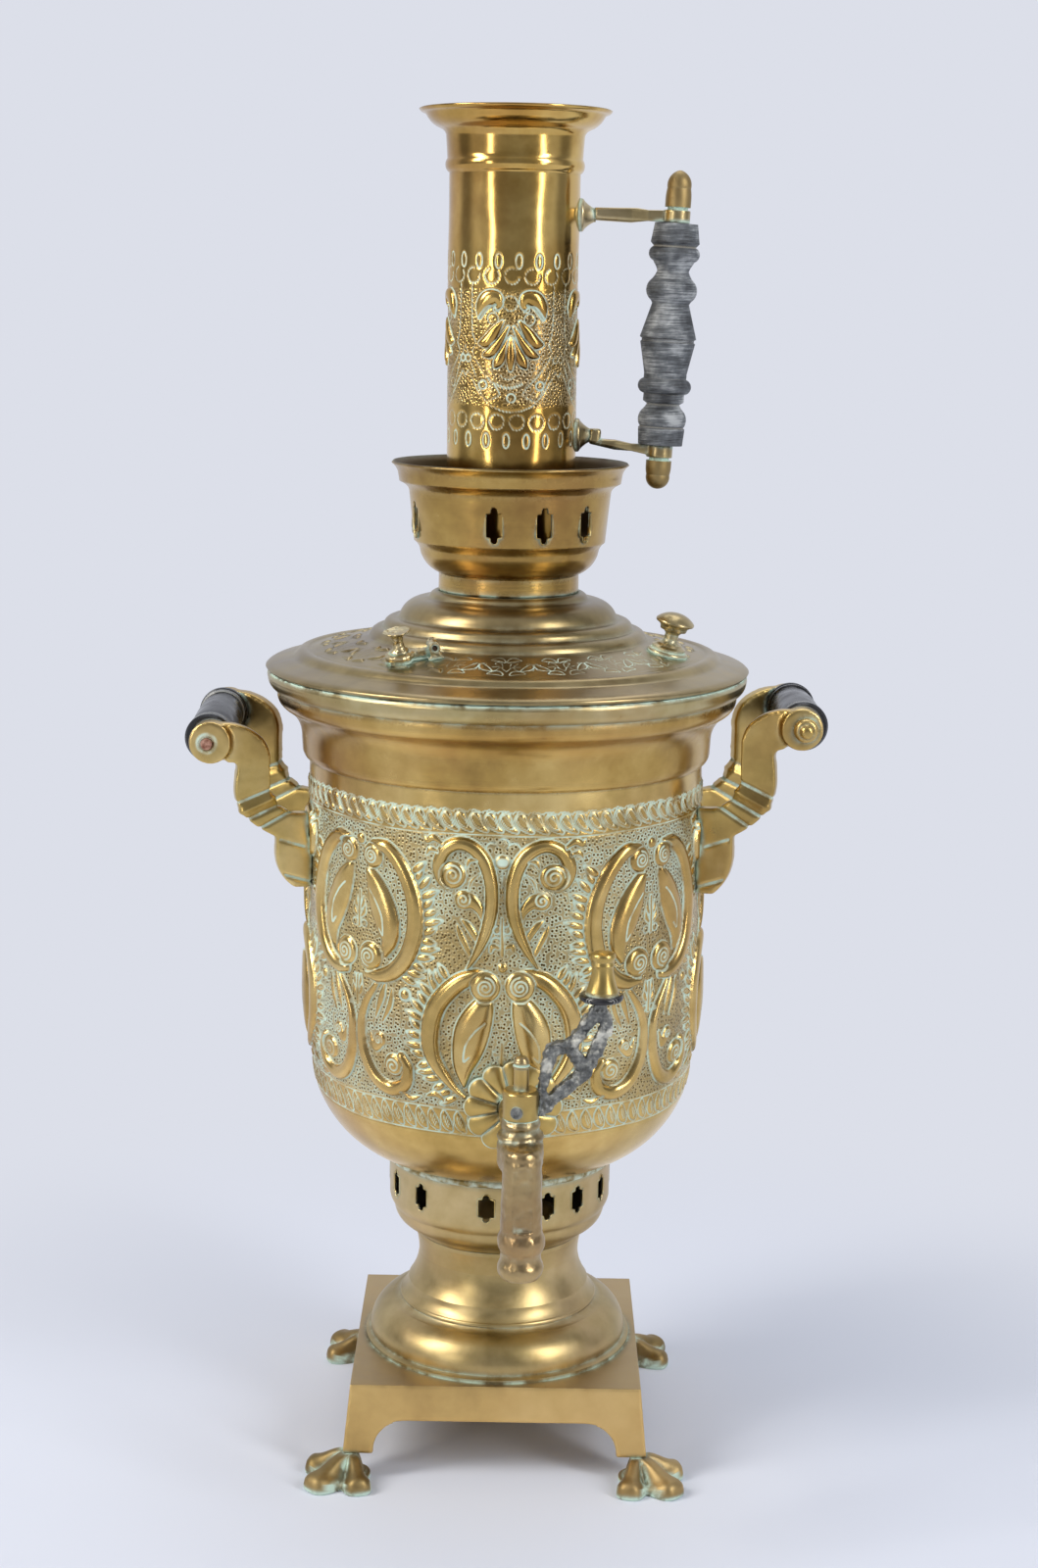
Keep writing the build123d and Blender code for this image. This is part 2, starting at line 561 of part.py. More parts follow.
def add_chimney_handle():
    frame = grip_frame()
    gap, lug_height, lug_r = SEAT_GAP, ARM_SIZE, 6.2
    pipe_core = rod_along(PIPE_R, (0, 0, CHIMNEY_Z), (0, 0, CHIMNEY_Z + CHIMNEY_HEIGHT))
    for name, along, boss_r in (("upper", GRIP_LENGTH + gap + lug_height / 2, 7.7),
                                ("lower", -gap - lug_height / 2, 8.0)):
        lug_at = (frame.location * Pos(0, 0, along)).position
        boss_z = lug_at.Z if name == "upper" else lug_at.Z + 7.2
        boss = Rot(0, 90, 0) * turned([(boss_r, 0), (boss_r, 5.0), (boss_r - 1.0, 6.0, 0.2),
                                       (ARM_SIZE * 0.56, 10.6, -0.3), (ARM_SIZE * 0.56, 11.4)])
        boss = Pos(PIPE_R - 4.0, 0, boss_z) * boss - pipe_core
        add("chimney_boss_" + name, boss)
        arm_start = PIPE_R + 7.4
        reach = lug_at.X - arm_start
        slope = degrees(atan2(boss_z - lug_at.Z, reach))
        bar = Box(reach, ARM_SIZE, ARM_SIZE * 0.96, align=(Align.MIN, Align.CENTER, Align.CENTER))
        bar = Pos(arm_start, 0, boss_z) * Rot(0, slope, 0) * bar
        lug = frame.location * (Pos(0, 0, along) * Cylinder(lug_r, lug_height))
        bore = frame.location * (Pos(0, 0, along) * Cylinder(CHIMNEY_ROD_R + PIN_FIT, 4 * lug_height))
        slab = frame.location * (Pos(0, 0, along) * Box(200, 60, lug_height))
        above = frame.location * (Pos(0, 0, along + lug_height / 2 + 30) * Box(60, 60, 60))
        arm = (bar & slab if name == "upper" else bar - above) + lug
        add("chimney_arm_" + name, arm - boss - bore)

    over = gap + lug_height
    rod = Cylinder(CHIMNEY_ROD_R, GRIP_LENGTH + 2 * over + 16, align=(Align.CENTER, Align.CENTER, Align.MIN))
    add("chimney_handle_rod", frame.location * (Pos(0, 0, -over - 8) * rod))
    for name, length, turn, at in (("upper", 18.4, 0, GRIP_LENGTH + over), ("lower", 15.0, 180, -over)):
        nut = turned([(0, 0), (4.8, 0), (4.8, 1.2), (6.1, 1.4), (6.1, length * 0.3),
                      (5.6, length * 0.55, 0.1), (TIP_R, length, 1.9)])
        nut -= Cylinder(CHIMNEY_ROD_R, 16.2)
        add("chimney_acorn_" + name, frame.location * (Pos(0, 0, at) * Rot(turn, 0, 0) * nut))

    swell, end = GRIP_SWELL_R, GRIP_LENGTH
    grip = turned([(10.6, 0), (11.1, 6.7), (11.1, 8.0), (10.4, 8.5), (10.9, 9.2), (9.9, 16.4, 1.1),
                   (7.8, 19.4, -0.2), (9.8, 20.7), (9.7, 24.2), (10.2, 31.4, 2.8), (10.2, 34.0),
                   (swell - 0.4, 48.4), (swell - 1.0, 49.0), (swell - 1.0, 50.0), (swell, 50.6),
                   (8.8, 66.6), (9.6, 68.0), (9.8, 77.8, 2.4), (7.5, 81.8, -0.2), (9.2, 85.2, -0.2),
                   (9.8, 86.4), (10.0, 93.2, 2.2), (11.6, 95.0), (10.2, end)])
    grip -= Cylinder(CHIMNEY_ROD_R + PIN_FIT, 3 * GRIP_LENGTH)
    add("chimney_grip", frame.location * grip)


# ---------------------------------------------------------------- side handles
ROD_X = TANK_R + HANDLE_REACH
BRACKET_Z = TANK_Z + HANDLE_FOOT


def bracket_plate(rise):
    """The S-shaped plate in the XZ plane, and the middle of its lobe. Heights are from its foot."""
    wall, root, up, rod = TANK_R, TANK_TOP_R - 8, rise / 84.0, ROD_X
    outline = [(root, 0), (wall + 2.7, 0), (wall + 12.1, 19.5 * up, 2.4), (wall + 11.8, 29.5 * up),
               (wall + 23.2, 37.5 * up, 0.5), (rod - 12.6, 57.5 * up, 2.4), (rod - 13.9, 69.5 * up, 0.2),
               (rod - 9.5, rise - 10.6, -1.5), (rod - 1.5, rise - 1.0), (rod - 3.5, rise + 9.0),
               (rod - 26.3, rise + 1.2, 2.8), (rod - 29.6, rise - 12.0, 1.4), (wall + 14.8, 62.0 * up),
               (wall + 2.0, 42.6 * up, -4.2), (root, 42.1 * up), (root, 0)]
    face = Face(Wire(outline_edges(outline)))
    return Pos(0, BRACKET_THICK / 2, 0) * extrude(face, BRACKET_THICK, dir=(0, -1, 0))


def add_side_handles():
    core = tank_core() + RAISED_FIELD
    for side, mirror in (("right", 1), ("left", -1)):
        ends = {}
        for place, towards in (("front", -1), ("rear", 1)):
            rise = HANDLE_RISE[side + "_" + place]
            pin_y = towards * HANDLE_SPAN / 2
            pivot = Pos(ROD_X, pin_y, BRACKET_Z)
            plate = pivot * Rot(0, 0, towards * HANDLE_SPLAY) * Pos(-ROD_X, 0, 0) * bracket_plate(rise)
            lobe = Rot(90, 0, 0) * Cylinder(LOBE_R, LOBE_THICK)
            lobe = Pos(ROD_X - 1.5, pin_y, BRACKET_Z + rise) * lobe
            ends[place] = (ROD_X, pin_y, BRACKET_Z + rise)
            NODES["handle_bracket_" + side + "_" + place] = plate + lobe
        add_side_grip(side, ends)
        for place in ("front", "rear"):
            name = "handle_bracket_" + side + "_" + place
            bracket = NODES[name] - side_bore(ends) - grip_room(ends)
            NODES[name] = (bracket if mirror > 0 else bracket.mirror(Plane.YZ)) - core
        if mirror < 0:
            for name in ("handle_rod_left", "handle_grip_left"):
                NODES[name] = NODES[name].mirror(Plane.YZ)


def rod_frame(ends):
    """Frame of a side rod: origin half-way between its brackets, Z along the rod to the rear."""
    front, rear = Vector(*ends["front"]), Vector(*ends["rear"])
    return Plane(origin=(front + rear) * 0.5, x_dir=Vector(1, 0, 0), z_dir=rear - front)


def side_bore(ends):
    return rod_frame(ends).location * Cylinder(SIDE_ROD_R, 2 * HANDLE_SPAN)


def grip_half(ends):
    """Half the length of a side grip, which turns freely between its two lobes."""
    return HANDLE_SPAN / 2 - LOBE_THICK / 2 - SEAT_GAP - tilt_room(ends)


def grip_room(ends):
    """The round recess that lets a grip turn between the splayed plates."""
    return rod_frame(ends).location * Cylinder(SIDE_GRIP_R + SLIP, 2 * (grip_half(ends) + SEAT_GAP))


def add_side_grip(side, ends):
    frame = rod_frame(ends).location
    face = HANDLE_SPAN / 2 + LOBE_THICK / 2
    end_head = PEEN_LENGTH if side == "left" else SIDE_NUT_LENGTH - 1.6
    rod = Cylinder(SIDE_ROD_R, 2 * (face + end_head))
    add("handle_rod_" + side, frame * rod)
    half = grip_half(ends)
    r = SIDE_GRIP_R
    half_profile = [(r - 1.0, 0), (r, 1.4), (r, 3.6), (r - 1.0, 4.6), (r - 0.2, 5.6), (r - 0.2, 7.4),
                    (r - 1.2, 8.4)]
    mirrored = [(p[0], 2 * half - p[1]) for p in reversed(half_profile)]
    grip = turned(half_profile + [mirrored[0] + (0.6,)] + mirrored[1:])
    grip -= Cylinder(SIDE_ROD_R + PIN_FIT, 6 * half)
    add("handle_grip_" + side, frame * (Pos(0, 0, -half) * grip))
    if side == "right":
        nuts = []
        for turn in (0, 180):
            nut_r, length = SIDE_NUT_R, SIDE_NUT_LENGTH
            nut = turned([(0, 0), (nut_r, 0), (nut_r, length - 6.0, 0.3), (nut_r - 2.0, length - 4.0, 0.6),
                          (nut_r - 2.6, length - 3.2), (nut_r - 2.7, length - 1.0, 0.1),
                          (TIP_R, length, 0.3)])
            nut -= Cylinder(SIDE_ROD_R, 2 * (length - 1.6))
            nuts.append(frame * (Rot(turn, 0, 0) * Pos(0, 0, face) * nut))
        add("handle_nuts_right", Compound(nuts))


def tilt_room(ends):
    """Room that a grip needs at each end where its rod isn't level."""
    drop = abs(ends["rear"][2] - ends["front"][2])
    return SIDE_GRIP_R * drop / HANDLE_SPAN


# ---------------------------------------------------------------- tap
BARREL_TOP = 12.6           # above the tap's axis
BARREL_FOOT = -11.0
HEAD_HEIGHT = 13.0
PLUG_BORE_TOP = PLUG_R + PIN_FIT


def plug_profile(extra, bottom, top):
    """The tapered plug between two heights above the tap's axis."""
    slope = PLUG_TAPER / (BARREL_TOP - BARREL_FOOT)
    return [(PLUG_R + extra - slope * (BARREL_TOP - bottom), bottom),
            (PLUG_R + extra - slope * (BARREL_TOP - top), top)]


def petals_face():
    face = Circle(ROSETTE_R - 5.8)
    petal_r = 6.0
    for i in range(PETALS):
        face += Rot(0, 0, 360 / PETALS * i) * Pos(ROSETTE_R - petal_r, 0) * Circle(petal_r)
    return face


def add_tap():
    turn = Rot(0, 0, TAP_AZIMUTH)
    shank_r = BARREL_R - 1.0
    neck_r = WATERWAY_R + 1.6
    core = tank_core()
    thick_core = tank_core(ROSETTE_THICK)

    disc = extrude(Plane((0, -60, TAP_Z), x_dir=(1, 0, 0), z_dir=(0, -1, 0)) * petals_face(), 60)
    disc = turn * disc
    rosette = (disc & thick_core) - core - RAISED_FIELD
    rosette -= turn * rod_along(shank_r, (0, -50, TAP_Z), (0, -TAP_REACH, TAP_Z))
    add("tap_rosette", rosette)

    shank = rod_along(shank_r, (0, -50, TAP_Z), (0, -TAP_REACH + PLUG_R, TAP_Z))
    shank -= core
    shank += rod_along(neck_r, (0, -TANK_R + BACK_NUT_DEPTH + 1.0, TAP_Z), (0, -TANK_R - 8.0, TAP_Z))
    axis = Pos(0, -TAP_REACH, TAP_Z)
    barrel = turned([(BARREL_R, BARREL_FOOT), (BARREL_R, 2.0), (10.6, 3.6, 0.2), (10.6, 5.0),
                     (BARREL_R, 7.7, -0.3), (BARREL_R, 8.4), (BARREL_R + 0.7, 9.0), (BARREL_R + 0.7, 10.6),
                     (BARREL_R, 11.2), (BARREL_R, BARREL_TOP)])
    elbow_end = Pos(0, -SPOUT_STEP) * Circle(SPOUT_R - 0.5)
    elbow = extrude(make_hull(Circle(10.4).edges() + elbow_end.edges()), 12.5)
    elbow = Pos(0, 0, -9.0) * elbow
    elbow = fillet(elbow.faces().sort_by(Axis.Z)[-1].edges(), 3.4)
    mouth = -SPOUT_DROP
    spout = turned([(SPOUT_R - 1.4, mouth), (SPOUT_R + 0.9, mouth + 2.4, 0.3),
                    (SPOUT_R + 1.4, mouth + 6.6, 0.3), (SPOUT_R + 0.2, mouth + 12.4, -0.4),
                    (SPOUT_R + 1.8, mouth + 18.0, 0.5), (SPOUT_R + 0.6, mouth + 22.0, 0.2),
                    (SPOUT_R, mouth + 42.0), (SPOUT_R, -3.0), (TIP_R, 4.6, 2.2)])
    facet_half = (SPOUT_R ** 2 - (SPOUT_R - FACET_DEPTH) ** 2) ** 0.5
    facet = Pos(0, -20.0) * Rectangle(2 * facet_half, 26.0) + Pos(0, -7.0) * Circle(facet_half)
    spout -= Pos(0, FACET_DEPTH - SPOUT_R, 0) * extrude(Plane.XZ * facet, 6.0)
    spout = Pos(0, -SPOUT_STEP, 0) * spout
    body = shank + axis * (barrel + elbow + spout)
    body -= axis * turned(plug_profile(PIN_FIT, BARREL_FOOT - 1, BARREL_TOP + 1))
    body -= rod_along(WATERWAY_R, (0, 0, TAP_Z), (0, -TAP_REACH - SPOUT_STEP, TAP_Z))
    body -= Pos(0, -TAP_REACH - SPOUT_STEP, TAP_Z + 1.0) * Cylinder(
        MOUTH_BORE_R, 2 * SPOUT_DROP, align=(Align.CENTER, Align.CENTER, Align.MAX))
    add("tap_body", turn * body)

    back_nut = turn * (rod_along(BACK_NUT_R, (0, -TANK_R, TAP_Z), (0, -TANK_R + BACK_NUT_DEPTH, TAP_Z))
                       - rod_along(neck_r, (0, 0, TAP_Z), (0, -TAP_REACH, TAP_Z)))
    add("tap_back_nut", back_nut & tank_core(-SHEET))
    add_tap_key(turn, axis)


def add_tap_key(turn, axis):
    head_z = BARREL_TOP + SEAT_GAP
    top_z = head_z + HEAD_HEIGHT
    plug_foot = BARREL_FOOT - 0.6
    stem_r = 3.4
    stem_top = top_z + 9.6
    plug = turned(plug_profile(0.0, plug_foot, BARREL_TOP) + [
        (BARREL_R - 2.6, head_z), (BARREL_R, head_z), (BARREL_R + 0.1, top_z - 1.2),
        (BARREL_R - 1.6, top_z, 0.3), (stem_r, top_z), (stem_r, stem_top)])
    plug += rod_along(PLUG_TAIL_R, (0, 0, plug_foot), (0, 0, plug_foot - PLUG_NUT_THICK - 2.4))
    plug -= Rot(0, 90, 0) * Cylinder(WATERWAY_R, 40)
    rivet_r = 2.7
    rivet_at = Rot(0, 0, -17) * Pos(0, -BARREL_R, head_z + 4.2) * Rot(90, 0, 0)
    plug -= rivet_at * Pos(0, 0, -1.0) * Cylinder(rivet_r, 4.0)
    add("tap_plug", turn * (axis * plug))
    rivet = rivet_at * Cylinder(rivet_r, 3.0, align=(Align.CENTER, Align.CENTER, Align.MAX))
    rivet += rivet_at * Cylinder(rivet_r, 0.5, align=(Align.CENTER, Align.CENTER, Align.MIN))
    add("tap_plug_rivet", turn * (axis * rivet))
    finial = turned([(stem_r, 0), (3.9, 0.5), (3.9, 1.2), (3.0, 1.6), (3.3, 3.4, 0.4), (TIP_R, 5.6, 0.7)])
    add("tap_plug_finial", turn * (axis * (Pos(0, 0, stem_top) * finial)))
    nut = tube(PLUG_NUT_R, PLUG_TAIL_R, plug_foot - PLUG_NUT_THICK, plug_foot)
    add("tap_plug_nut", turn * (axis * nut))

    # Two open links, end to end, as flat bars between points (across, above the tap's axis).
    low, left, peak, cross = (11.0, 18.6), (13.6, 44.0), (21.4, 45.6), (28.6, 34.0)
    right, shoulder, top = (37.6, 54.6), (30.0, 57.0), (KEY_OUT - 0.4, KEY_RISE - 2.8)
    root_low, root_high = (8.4, 17.0), (8.4, 25.4)
    bars = [(root_low, low), (low, cross), (root_high, left), (low, root_high), (left, peak), (peak, cross),
            (cross, right), (peak, shoulder), (right, top), (shoulder, top)]
    branch = None
    for start, end in bars:
        centre = ((start[0] + end[0]) / 2, (start[1] + end[1]) / 2)
        length = hypot(end[0] - start[0], end[1] - start[1])
        lean = degrees(atan2(end[1] - start[1], end[0] - start[0]))
        slot = Pos(*centre) * Rot(0, 0, lean) * SlotCenterToCenter(length, BRANCH_WIDTH)
        branch = slot if branch is None else branch + slot
    branch = extrude(Plane.XZ * branch, BRANCH_WIDTH / 2, both=True)
    washer_z = KEY_RISE
    branch -= Pos(0, 0, head_z) * Cylinder(BARREL_R + 0.1, 60, align=(Align.CENTER, Align.CENTER, Align.MIN))
    branch -= Pos(KEY_OUT, 0, washer_z) * Cylinder(20, 20, align=(Align.CENTER, Align.CENTER, Align.MIN))
    add("tap_key_branch", turn * (axis * branch))
    washer = turned([(WASHER_R - 0.8, 0), (WASHER_R - 0.8, WASHER_THICK, 1.3)])
    add("tap_key_washer", turn * (axis * (Pos(KEY_OUT, 0, washer_z) * washer)))
    knob = turned([(7.4, 0), (7.2, 1.6), (4.7, 12.2, -0.5), (5.3, 13.4), (4.9, 15.0), (5.4, 16.2),
                   (5.2, 18.6, 0.4), (TIP_R, 19.4, 0.2)])
    add("tap_key_knob", turn * (axis * (Pos(KEY_OUT + 0.4, 0, washer_z + WASHER_THICK) * knob)))


# ---------------------------------------------------------------- the whole object
add_foot()
add_pedestal()
add_tank()
add_lid()
add_crown()
add_chimney()
add_side_handles()
add_tap()

whole = Compound([solid for shape in NODES.values() for solid in shape.solids()]).bounding_box()
TO_ORIGIN = Pos(-(whole.min.X + whole.max.X) / 2, -(whole.min.Y + whole.max.Y) / 2, 0)

os.makedirs("parts", exist_ok=True)
for node, shape in NODES.items():
    placed = TO_ORIGIN * shape
    solids = placed.solids()
    export_step(solids[0] if len(solids) == 1 else Compound(solids), "parts/" + node + ".step")


def report_place(title, frame):
    spot = (TO_ORIGIN * frame.location).position
    print(title, "at", [round(v, 3) for v in spot], "Z along", [round(v, 5) for v in frame.z_dir],
          "Y along", [round(v, 5) for v in frame.y_dir])


if __name__ == "__main__":
    print("box", whole.min, whole.max, "moved by", TO_ORIGIN.position)
    report_place("chimney grip", grip_frame())
    hinge = vent_hinge_frame(on_lid(VENT_AZIMUTH, VENT_ON_LID_R))
    report_place("vent hinge", Plane(origin=(hinge.location * Pos(FLAP_ARM, 0, HINGE_LEVEL)).position,
                                     x_dir=hinge.x_dir, z_dir=hinge.z_dir))
    plug_axis = Rot(0, 0, TAP_AZIMUTH) * Pos(0, -TAP_REACH, TAP_Z)
    report_place("tap plug", Plane(origin=plug_axis.position, z_dir=(0, 0, 1)))
    for side, sign in (("right", 1), ("left", -1)):
        ends = {place: (sign * ROD_X, y * HANDLE_SPAN / 2, BRACKET_Z + HANDLE_RISE[side + "_" + place])
                for place, y in (("front", -1), ("rear", 1))}
        report_place("side rod " + side, rod_frame(ends))
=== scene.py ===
import json
import math

import bmesh
import bpy
import numpy as np
from mathutils import Matrix, Vector, noise


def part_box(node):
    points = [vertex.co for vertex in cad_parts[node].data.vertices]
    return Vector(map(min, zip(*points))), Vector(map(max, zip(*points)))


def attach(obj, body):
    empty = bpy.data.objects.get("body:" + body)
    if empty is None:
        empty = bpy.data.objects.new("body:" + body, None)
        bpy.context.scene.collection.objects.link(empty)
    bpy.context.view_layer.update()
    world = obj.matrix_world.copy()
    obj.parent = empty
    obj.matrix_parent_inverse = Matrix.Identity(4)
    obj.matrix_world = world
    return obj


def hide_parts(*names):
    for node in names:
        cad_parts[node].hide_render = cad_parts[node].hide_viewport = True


# An aged brass charcoal samovar: chased tank and chimney, cast handles, tap and paws.
# Metres in the frame; the chased ornament is laid out in millimetres.

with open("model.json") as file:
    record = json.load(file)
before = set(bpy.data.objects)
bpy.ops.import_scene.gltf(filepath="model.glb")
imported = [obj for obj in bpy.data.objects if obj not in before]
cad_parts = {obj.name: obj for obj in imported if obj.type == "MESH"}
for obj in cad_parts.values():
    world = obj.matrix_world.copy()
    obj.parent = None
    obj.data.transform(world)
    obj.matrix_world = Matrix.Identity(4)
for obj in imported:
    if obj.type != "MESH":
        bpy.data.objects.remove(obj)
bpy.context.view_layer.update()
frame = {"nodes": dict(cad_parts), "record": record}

MM = 0.001
NODES = frame["nodes"]
BODY_OF = {node: body for body, nodes in frame["record"]["behaviour"]["bodies"].items() for node in nodes}


def middle(node):
    low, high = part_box(node)
    return (low + high) / 2


AXIS_Y = middle("neck_collar").y         # the samovar's own upright axis is at X = 0
TANK_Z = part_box("tank_shell")[0].z
TANK_R = 97.5                            # the tank's mean radius, millimetres
TAP_AZIMUTH = 3.8                        # degrees from straight ahead, to the right
TAP_LEVEL = 51.0                         # the tap's height above the tank's bottom, millimetres


# ---------------------------------------------------------------- node trees
def linear(hex_colour, alpha=1.0):
    """An sRGB hex colour as Blender's linear red, green, blue and alpha."""
    parts = [int(hex_colour[i:i + 2], 16) / 255 for i in (1, 3, 5)]
    return tuple(c / 12.92 if c <= 0.04045 else ((c + 0.055) / 1.055) ** 2.4 for c in parts) + (alpha,)


def add(tree, kind, links=None, **settings):
    """Adds a node: links fill its inputs with values or other outputs, settings are its properties.

    Inputs go by name, or by number where that is plainer: MapRange has value, from, from, to, to at
    0 to 4; Mix has factor, A, B at 0, 2, 3 for numbers and at 0, 6, 7 for colours, with that result at 2.
    """
    node = tree.nodes.new("ShaderNode" + kind)
    for key, value in settings.items():
        if key == "stops":
            while len(node.color_ramp.elements) < len(value):
                node.color_ramp.elements.new(1.0)
            for element, (position, colour) in zip(node.color_ramp.elements, value):
                element.position = position
                element.color = colour
        else:
            setattr(node, key, value)
    for key, value in (links or {}).items():
        if isinstance(value, bpy.types.NodeSocket):
            tree.links.new(value, node.inputs[key])
        else:
            node.inputs[key].default_value = value
    return node


def new_material(name):
    material = bpy.data.materials.new(name)
    material.use_nodes = True
    material.node_tree.nodes.clear()
    return material, material.node_tree


VERDIGRIS = "#C3D9CA"       # pale mint copper salts left in the recesses by polish
GRIME_AND_SHADE = "#4A3A20"           # dark tarnish in the punched ground, and painted shade in recesses
LEACHED = "#A8714C"         # copper left where the zinc has gone
DUST_AND_SHADE = "#8D8272"            # dull film on upward faces: partly dust, partly painted shade
SOOT = "#2B221A"            # smoke on the faces that the fire's draught passes

# Scales of brass's patterns, in features per metre, and what that is in millimetres.
LEACHING = 9.0              # patches that have lost their zinc, 110
CLOUDS = 14.0               # clouds of tone, 70
LIME_PATCHES = 18.0         # where lime has dried thickly on the punched ground, 55
DENTS = 45.0                # shallow dents, 22
BLOTCHES = 95.0             # blotches of tarnish and salts, 10
GRAIN = 420.0               # the skin's grain, 2.4; real grain is finer and wouldn't show
LATHE_RINGS = 900.0         # rings of the lathe, 1.1 apart; real ones are finer and wouldn't show
PUNCH_PITCH = 2.3           # ring punch marks, millimetres from eye to eye


def aged_brass(name, deep, mid, pale, rough=0.3, spun=0.0, verdigris=0.6, dents=0.25, punched=None, seam=3.5,
               open_sky=0.92, copper=0.25, limy=0.72, top_dust_and_shade=0.0):
    """Tarnished brass: warm metal with cloudy tone, worn gloss, mint salts in its recesses, and painted shade
    darkening them.

    spun is the depth of the fine rings that the lathe or burnisher left. punched is the radius, in
    millimetres, of a round body whose ground was struck all over with a ring punch, and limy is how
    pale the rings are. copper is how far the zinc has leached out in patches, which leaves them
    pinkish. The last argument is how far faces that look up turn a dull grey-brown: partly dust,
    partly painted shade.
    """
    material, tree = new_material(name)
    place = add(tree, "TexCoord").outputs["Object"]
    cloud = add(tree, "TexNoise",
                {"Vector": place, "Scale": CLOUDS, "Detail": 4.0, "Roughness": 0.55}).outputs[0]
    blotch = add(tree, "TexNoise",
                 {"Vector": place, "Scale": BLOTCHES, "Detail": 5.0, "Roughness": 0.6}).outputs[0]
    tone = add(tree, "Mix", {0: 0.25, 2: cloud, 3: blotch}, data_type="FLOAT").outputs[0]
    metal = add(tree, "ValToRGB", {0: tone},
                stops=[(0.36, linear(deep)), (0.5, linear(mid)), (0.64, linear(pale))]).outputs[0]

    leached = add(tree, "TexNoise",
                  {"Vector": place, "Scale": LEACHING, "Detail": 3.0, "Roughness": 0.6}).outputs[0]
    leached = add(tree, "MapRange", {0: leached, 1: 0.48, 2: 0.66, 3: 0.0, 4: copper}).outputs[0]
    metal = add(tree, "Mix", {0: leached, 6: metal, 7: linear(LEACHED)}, data_type="RGBA").outputs[2]

    # Rings of the lathe: noise read by radius and height, all but constant round the axis.
    centred = add(tree, "VectorMath", {0: place, 1: (0.0, AXIS_Y, 0.0)}, operation="SUBTRACT").outputs[0]
    parts = add(tree, "SeparateXYZ", {0: centred}).outputs
    flat = add(tree, "CombineXYZ", {0: parts[0], 1: parts[1]}).outputs[0]
    radius = add(tree, "VectorMath", {0: flat}, operation="LENGTH").outputs["Value"]
    ring_place = add(tree, "CombineXYZ", {0: radius, 1: parts[2]}).outputs[0]
    drift = add(tree, "VectorMath", {0: centred, "Scale": 0.012}, operation="SCALE").outputs[0]
    ring_at = add(tree, "VectorMath", {0: ring_place, 1: drift}, operation="ADD").outputs[0]
    rings = add(tree, "TexNoise",
                {"Vector": ring_at, "Scale": LATHE_RINGS, "Detail": 4.0, "Roughness": 0.7}).outputs[0]

    grain = add(tree, "TexNoise", {"Vector": place, "Scale": GRAIN, "Detail": 3.0}).outputs[0]
    shade = add(tree, "AmbientOcclusion", {"Distance": seam * MM}, samples=8).outputs["AO"]
    hollow = add(tree, "MapRange", {0: shade, 1: open_sky, 2: open_sky - 0.45, 3: 0.0, 4: 1.0}).outputs[0]
    patchy = add(tree, "MapRange", {0: blotch, 1: 0.40, 2: 0.58, 3: 0.15, 4: 1.0}).outputs[0]
    salts = add(tree, "Math", {0: hollow, 1: patchy}, operation="MULTIPLY").outputs[0]
    salts = add(tree, "Math", {0: salts, 1: verdigris * 1.5}, operation="MULTIPLY", use_clamp=True).outputs[0]
    height = add(tree, "Math", {0: rings, 1: spun}, operation="MULTIPLY").outputs[0]
    height = add(tree, "Math", {0: grain, 1: 0.15, 2: height}, operation="MULTIPLY_ADD").outputs[0]
    dent = add(tree, "TexNoise", {"Vector": place, "Scale": DENTS, "Detail": 2.0}).outputs[0]
    height = add(tree, "Math", {0: dent, 1: dents * 6.0, 2: height}, operation="MULTIPLY_ADD").outputs[0]

    # Chased and filed lines keep the salts; polish has broken them up.
    groove = add(tree, "Attribute", attribute_name="groove").outputs["Fac"]
    groove = add(tree, "MapRange", {0: groove, 1: 0.28, 2: 0.78}, interpolation_type="SMOOTHSTEP").outputs[0]
    broken = add(tree, "MapRange", {0: blotch, 1: 0.38, 2: 0.54, 3: 0.25, 4: 0.95}).outputs[0]
    lines = add(tree, "Math", {0: groove, 1: broken}, operation="MULTIPLY").outputs[0]
    salts = add(tree, "Math", {0: salts, 1: lines}, operation="MAXIMUM").outputs[0]
    if punched:
        ground = add(tree, "Attribute", attribute_name="ground").outputs["Fac"]
        turn = add(tree, "Math", {0: parts[0], 1: parts[1]}, operation="ARCTAN2").outputs[0]
        around = add(tree, "Math", {0: turn, 1: punched}, operation="MULTIPLY").outputs[0]
        up = add(tree, "Math", {0: parts[2], 1: MM}, operation="DIVIDE").outputs[0]
        chart = add(tree, "CombineXYZ", {0: around, 1: up}).outputs[0]
        # Rings struck side by side by hand: a dark eye in a pale ring.
        cell = add(tree, "TexVoronoi", {"Vector": chart, "Scale": 1 / PUNCH_PITCH, "Randomness": 0.72},
                   voronoi_dimensions="2D").outputs["Distance"]
        wall = add(tree, "MapRange", {0: cell, 1: 0.24, 2: 0.36, 3: 0.0, 4: 1.0}).outputs[0]
        gap = add(tree, "MapRange", {0: cell, 1: 0.43, 2: 0.53, 3: 1.0, 4: 0.2}).outputs[0]
        wall = add(tree, "Math", {0: wall, 1: gap}, operation="MULTIPLY").outputs[0]
        wall = add(tree, "Math", {0: wall, 1: ground}, operation="MULTIPLY").outputs[0]
        height = add(tree, "Math", {0: wall, 1: 4.5, 2: height}, operation="MULTIPLY_ADD").outputs[0]
        wide = add(tree, "TexNoise",
                   {"Vector": place, "Scale": LIME_PATCHES, "Detail": 6.0, "Roughness": 0.65}).outputs[0]
        lime = add(tree, "MapRange", {0: wide, 1: 0.44, 2: 0.57, 3: 0.2 * limy, 4: limy}).outputs[0]
        pale_walls = add(tree, "Math", {0: wall, 1: lime}, operation="MULTIPLY").outputs[0]
        salts = add(tree, "Math", {0: salts, 1: pale_walls}, operation="MAXIMUM").outputs[0]
        eye = add(tree, "MapRange", {0: cell, 1: 0.24, 2: 0.12, 3: 0.0, 4: 0.75}).outputs[0]
        eye = add(tree, "Math", {0: eye, 1: ground}, operation="MULTIPLY").outputs[0]
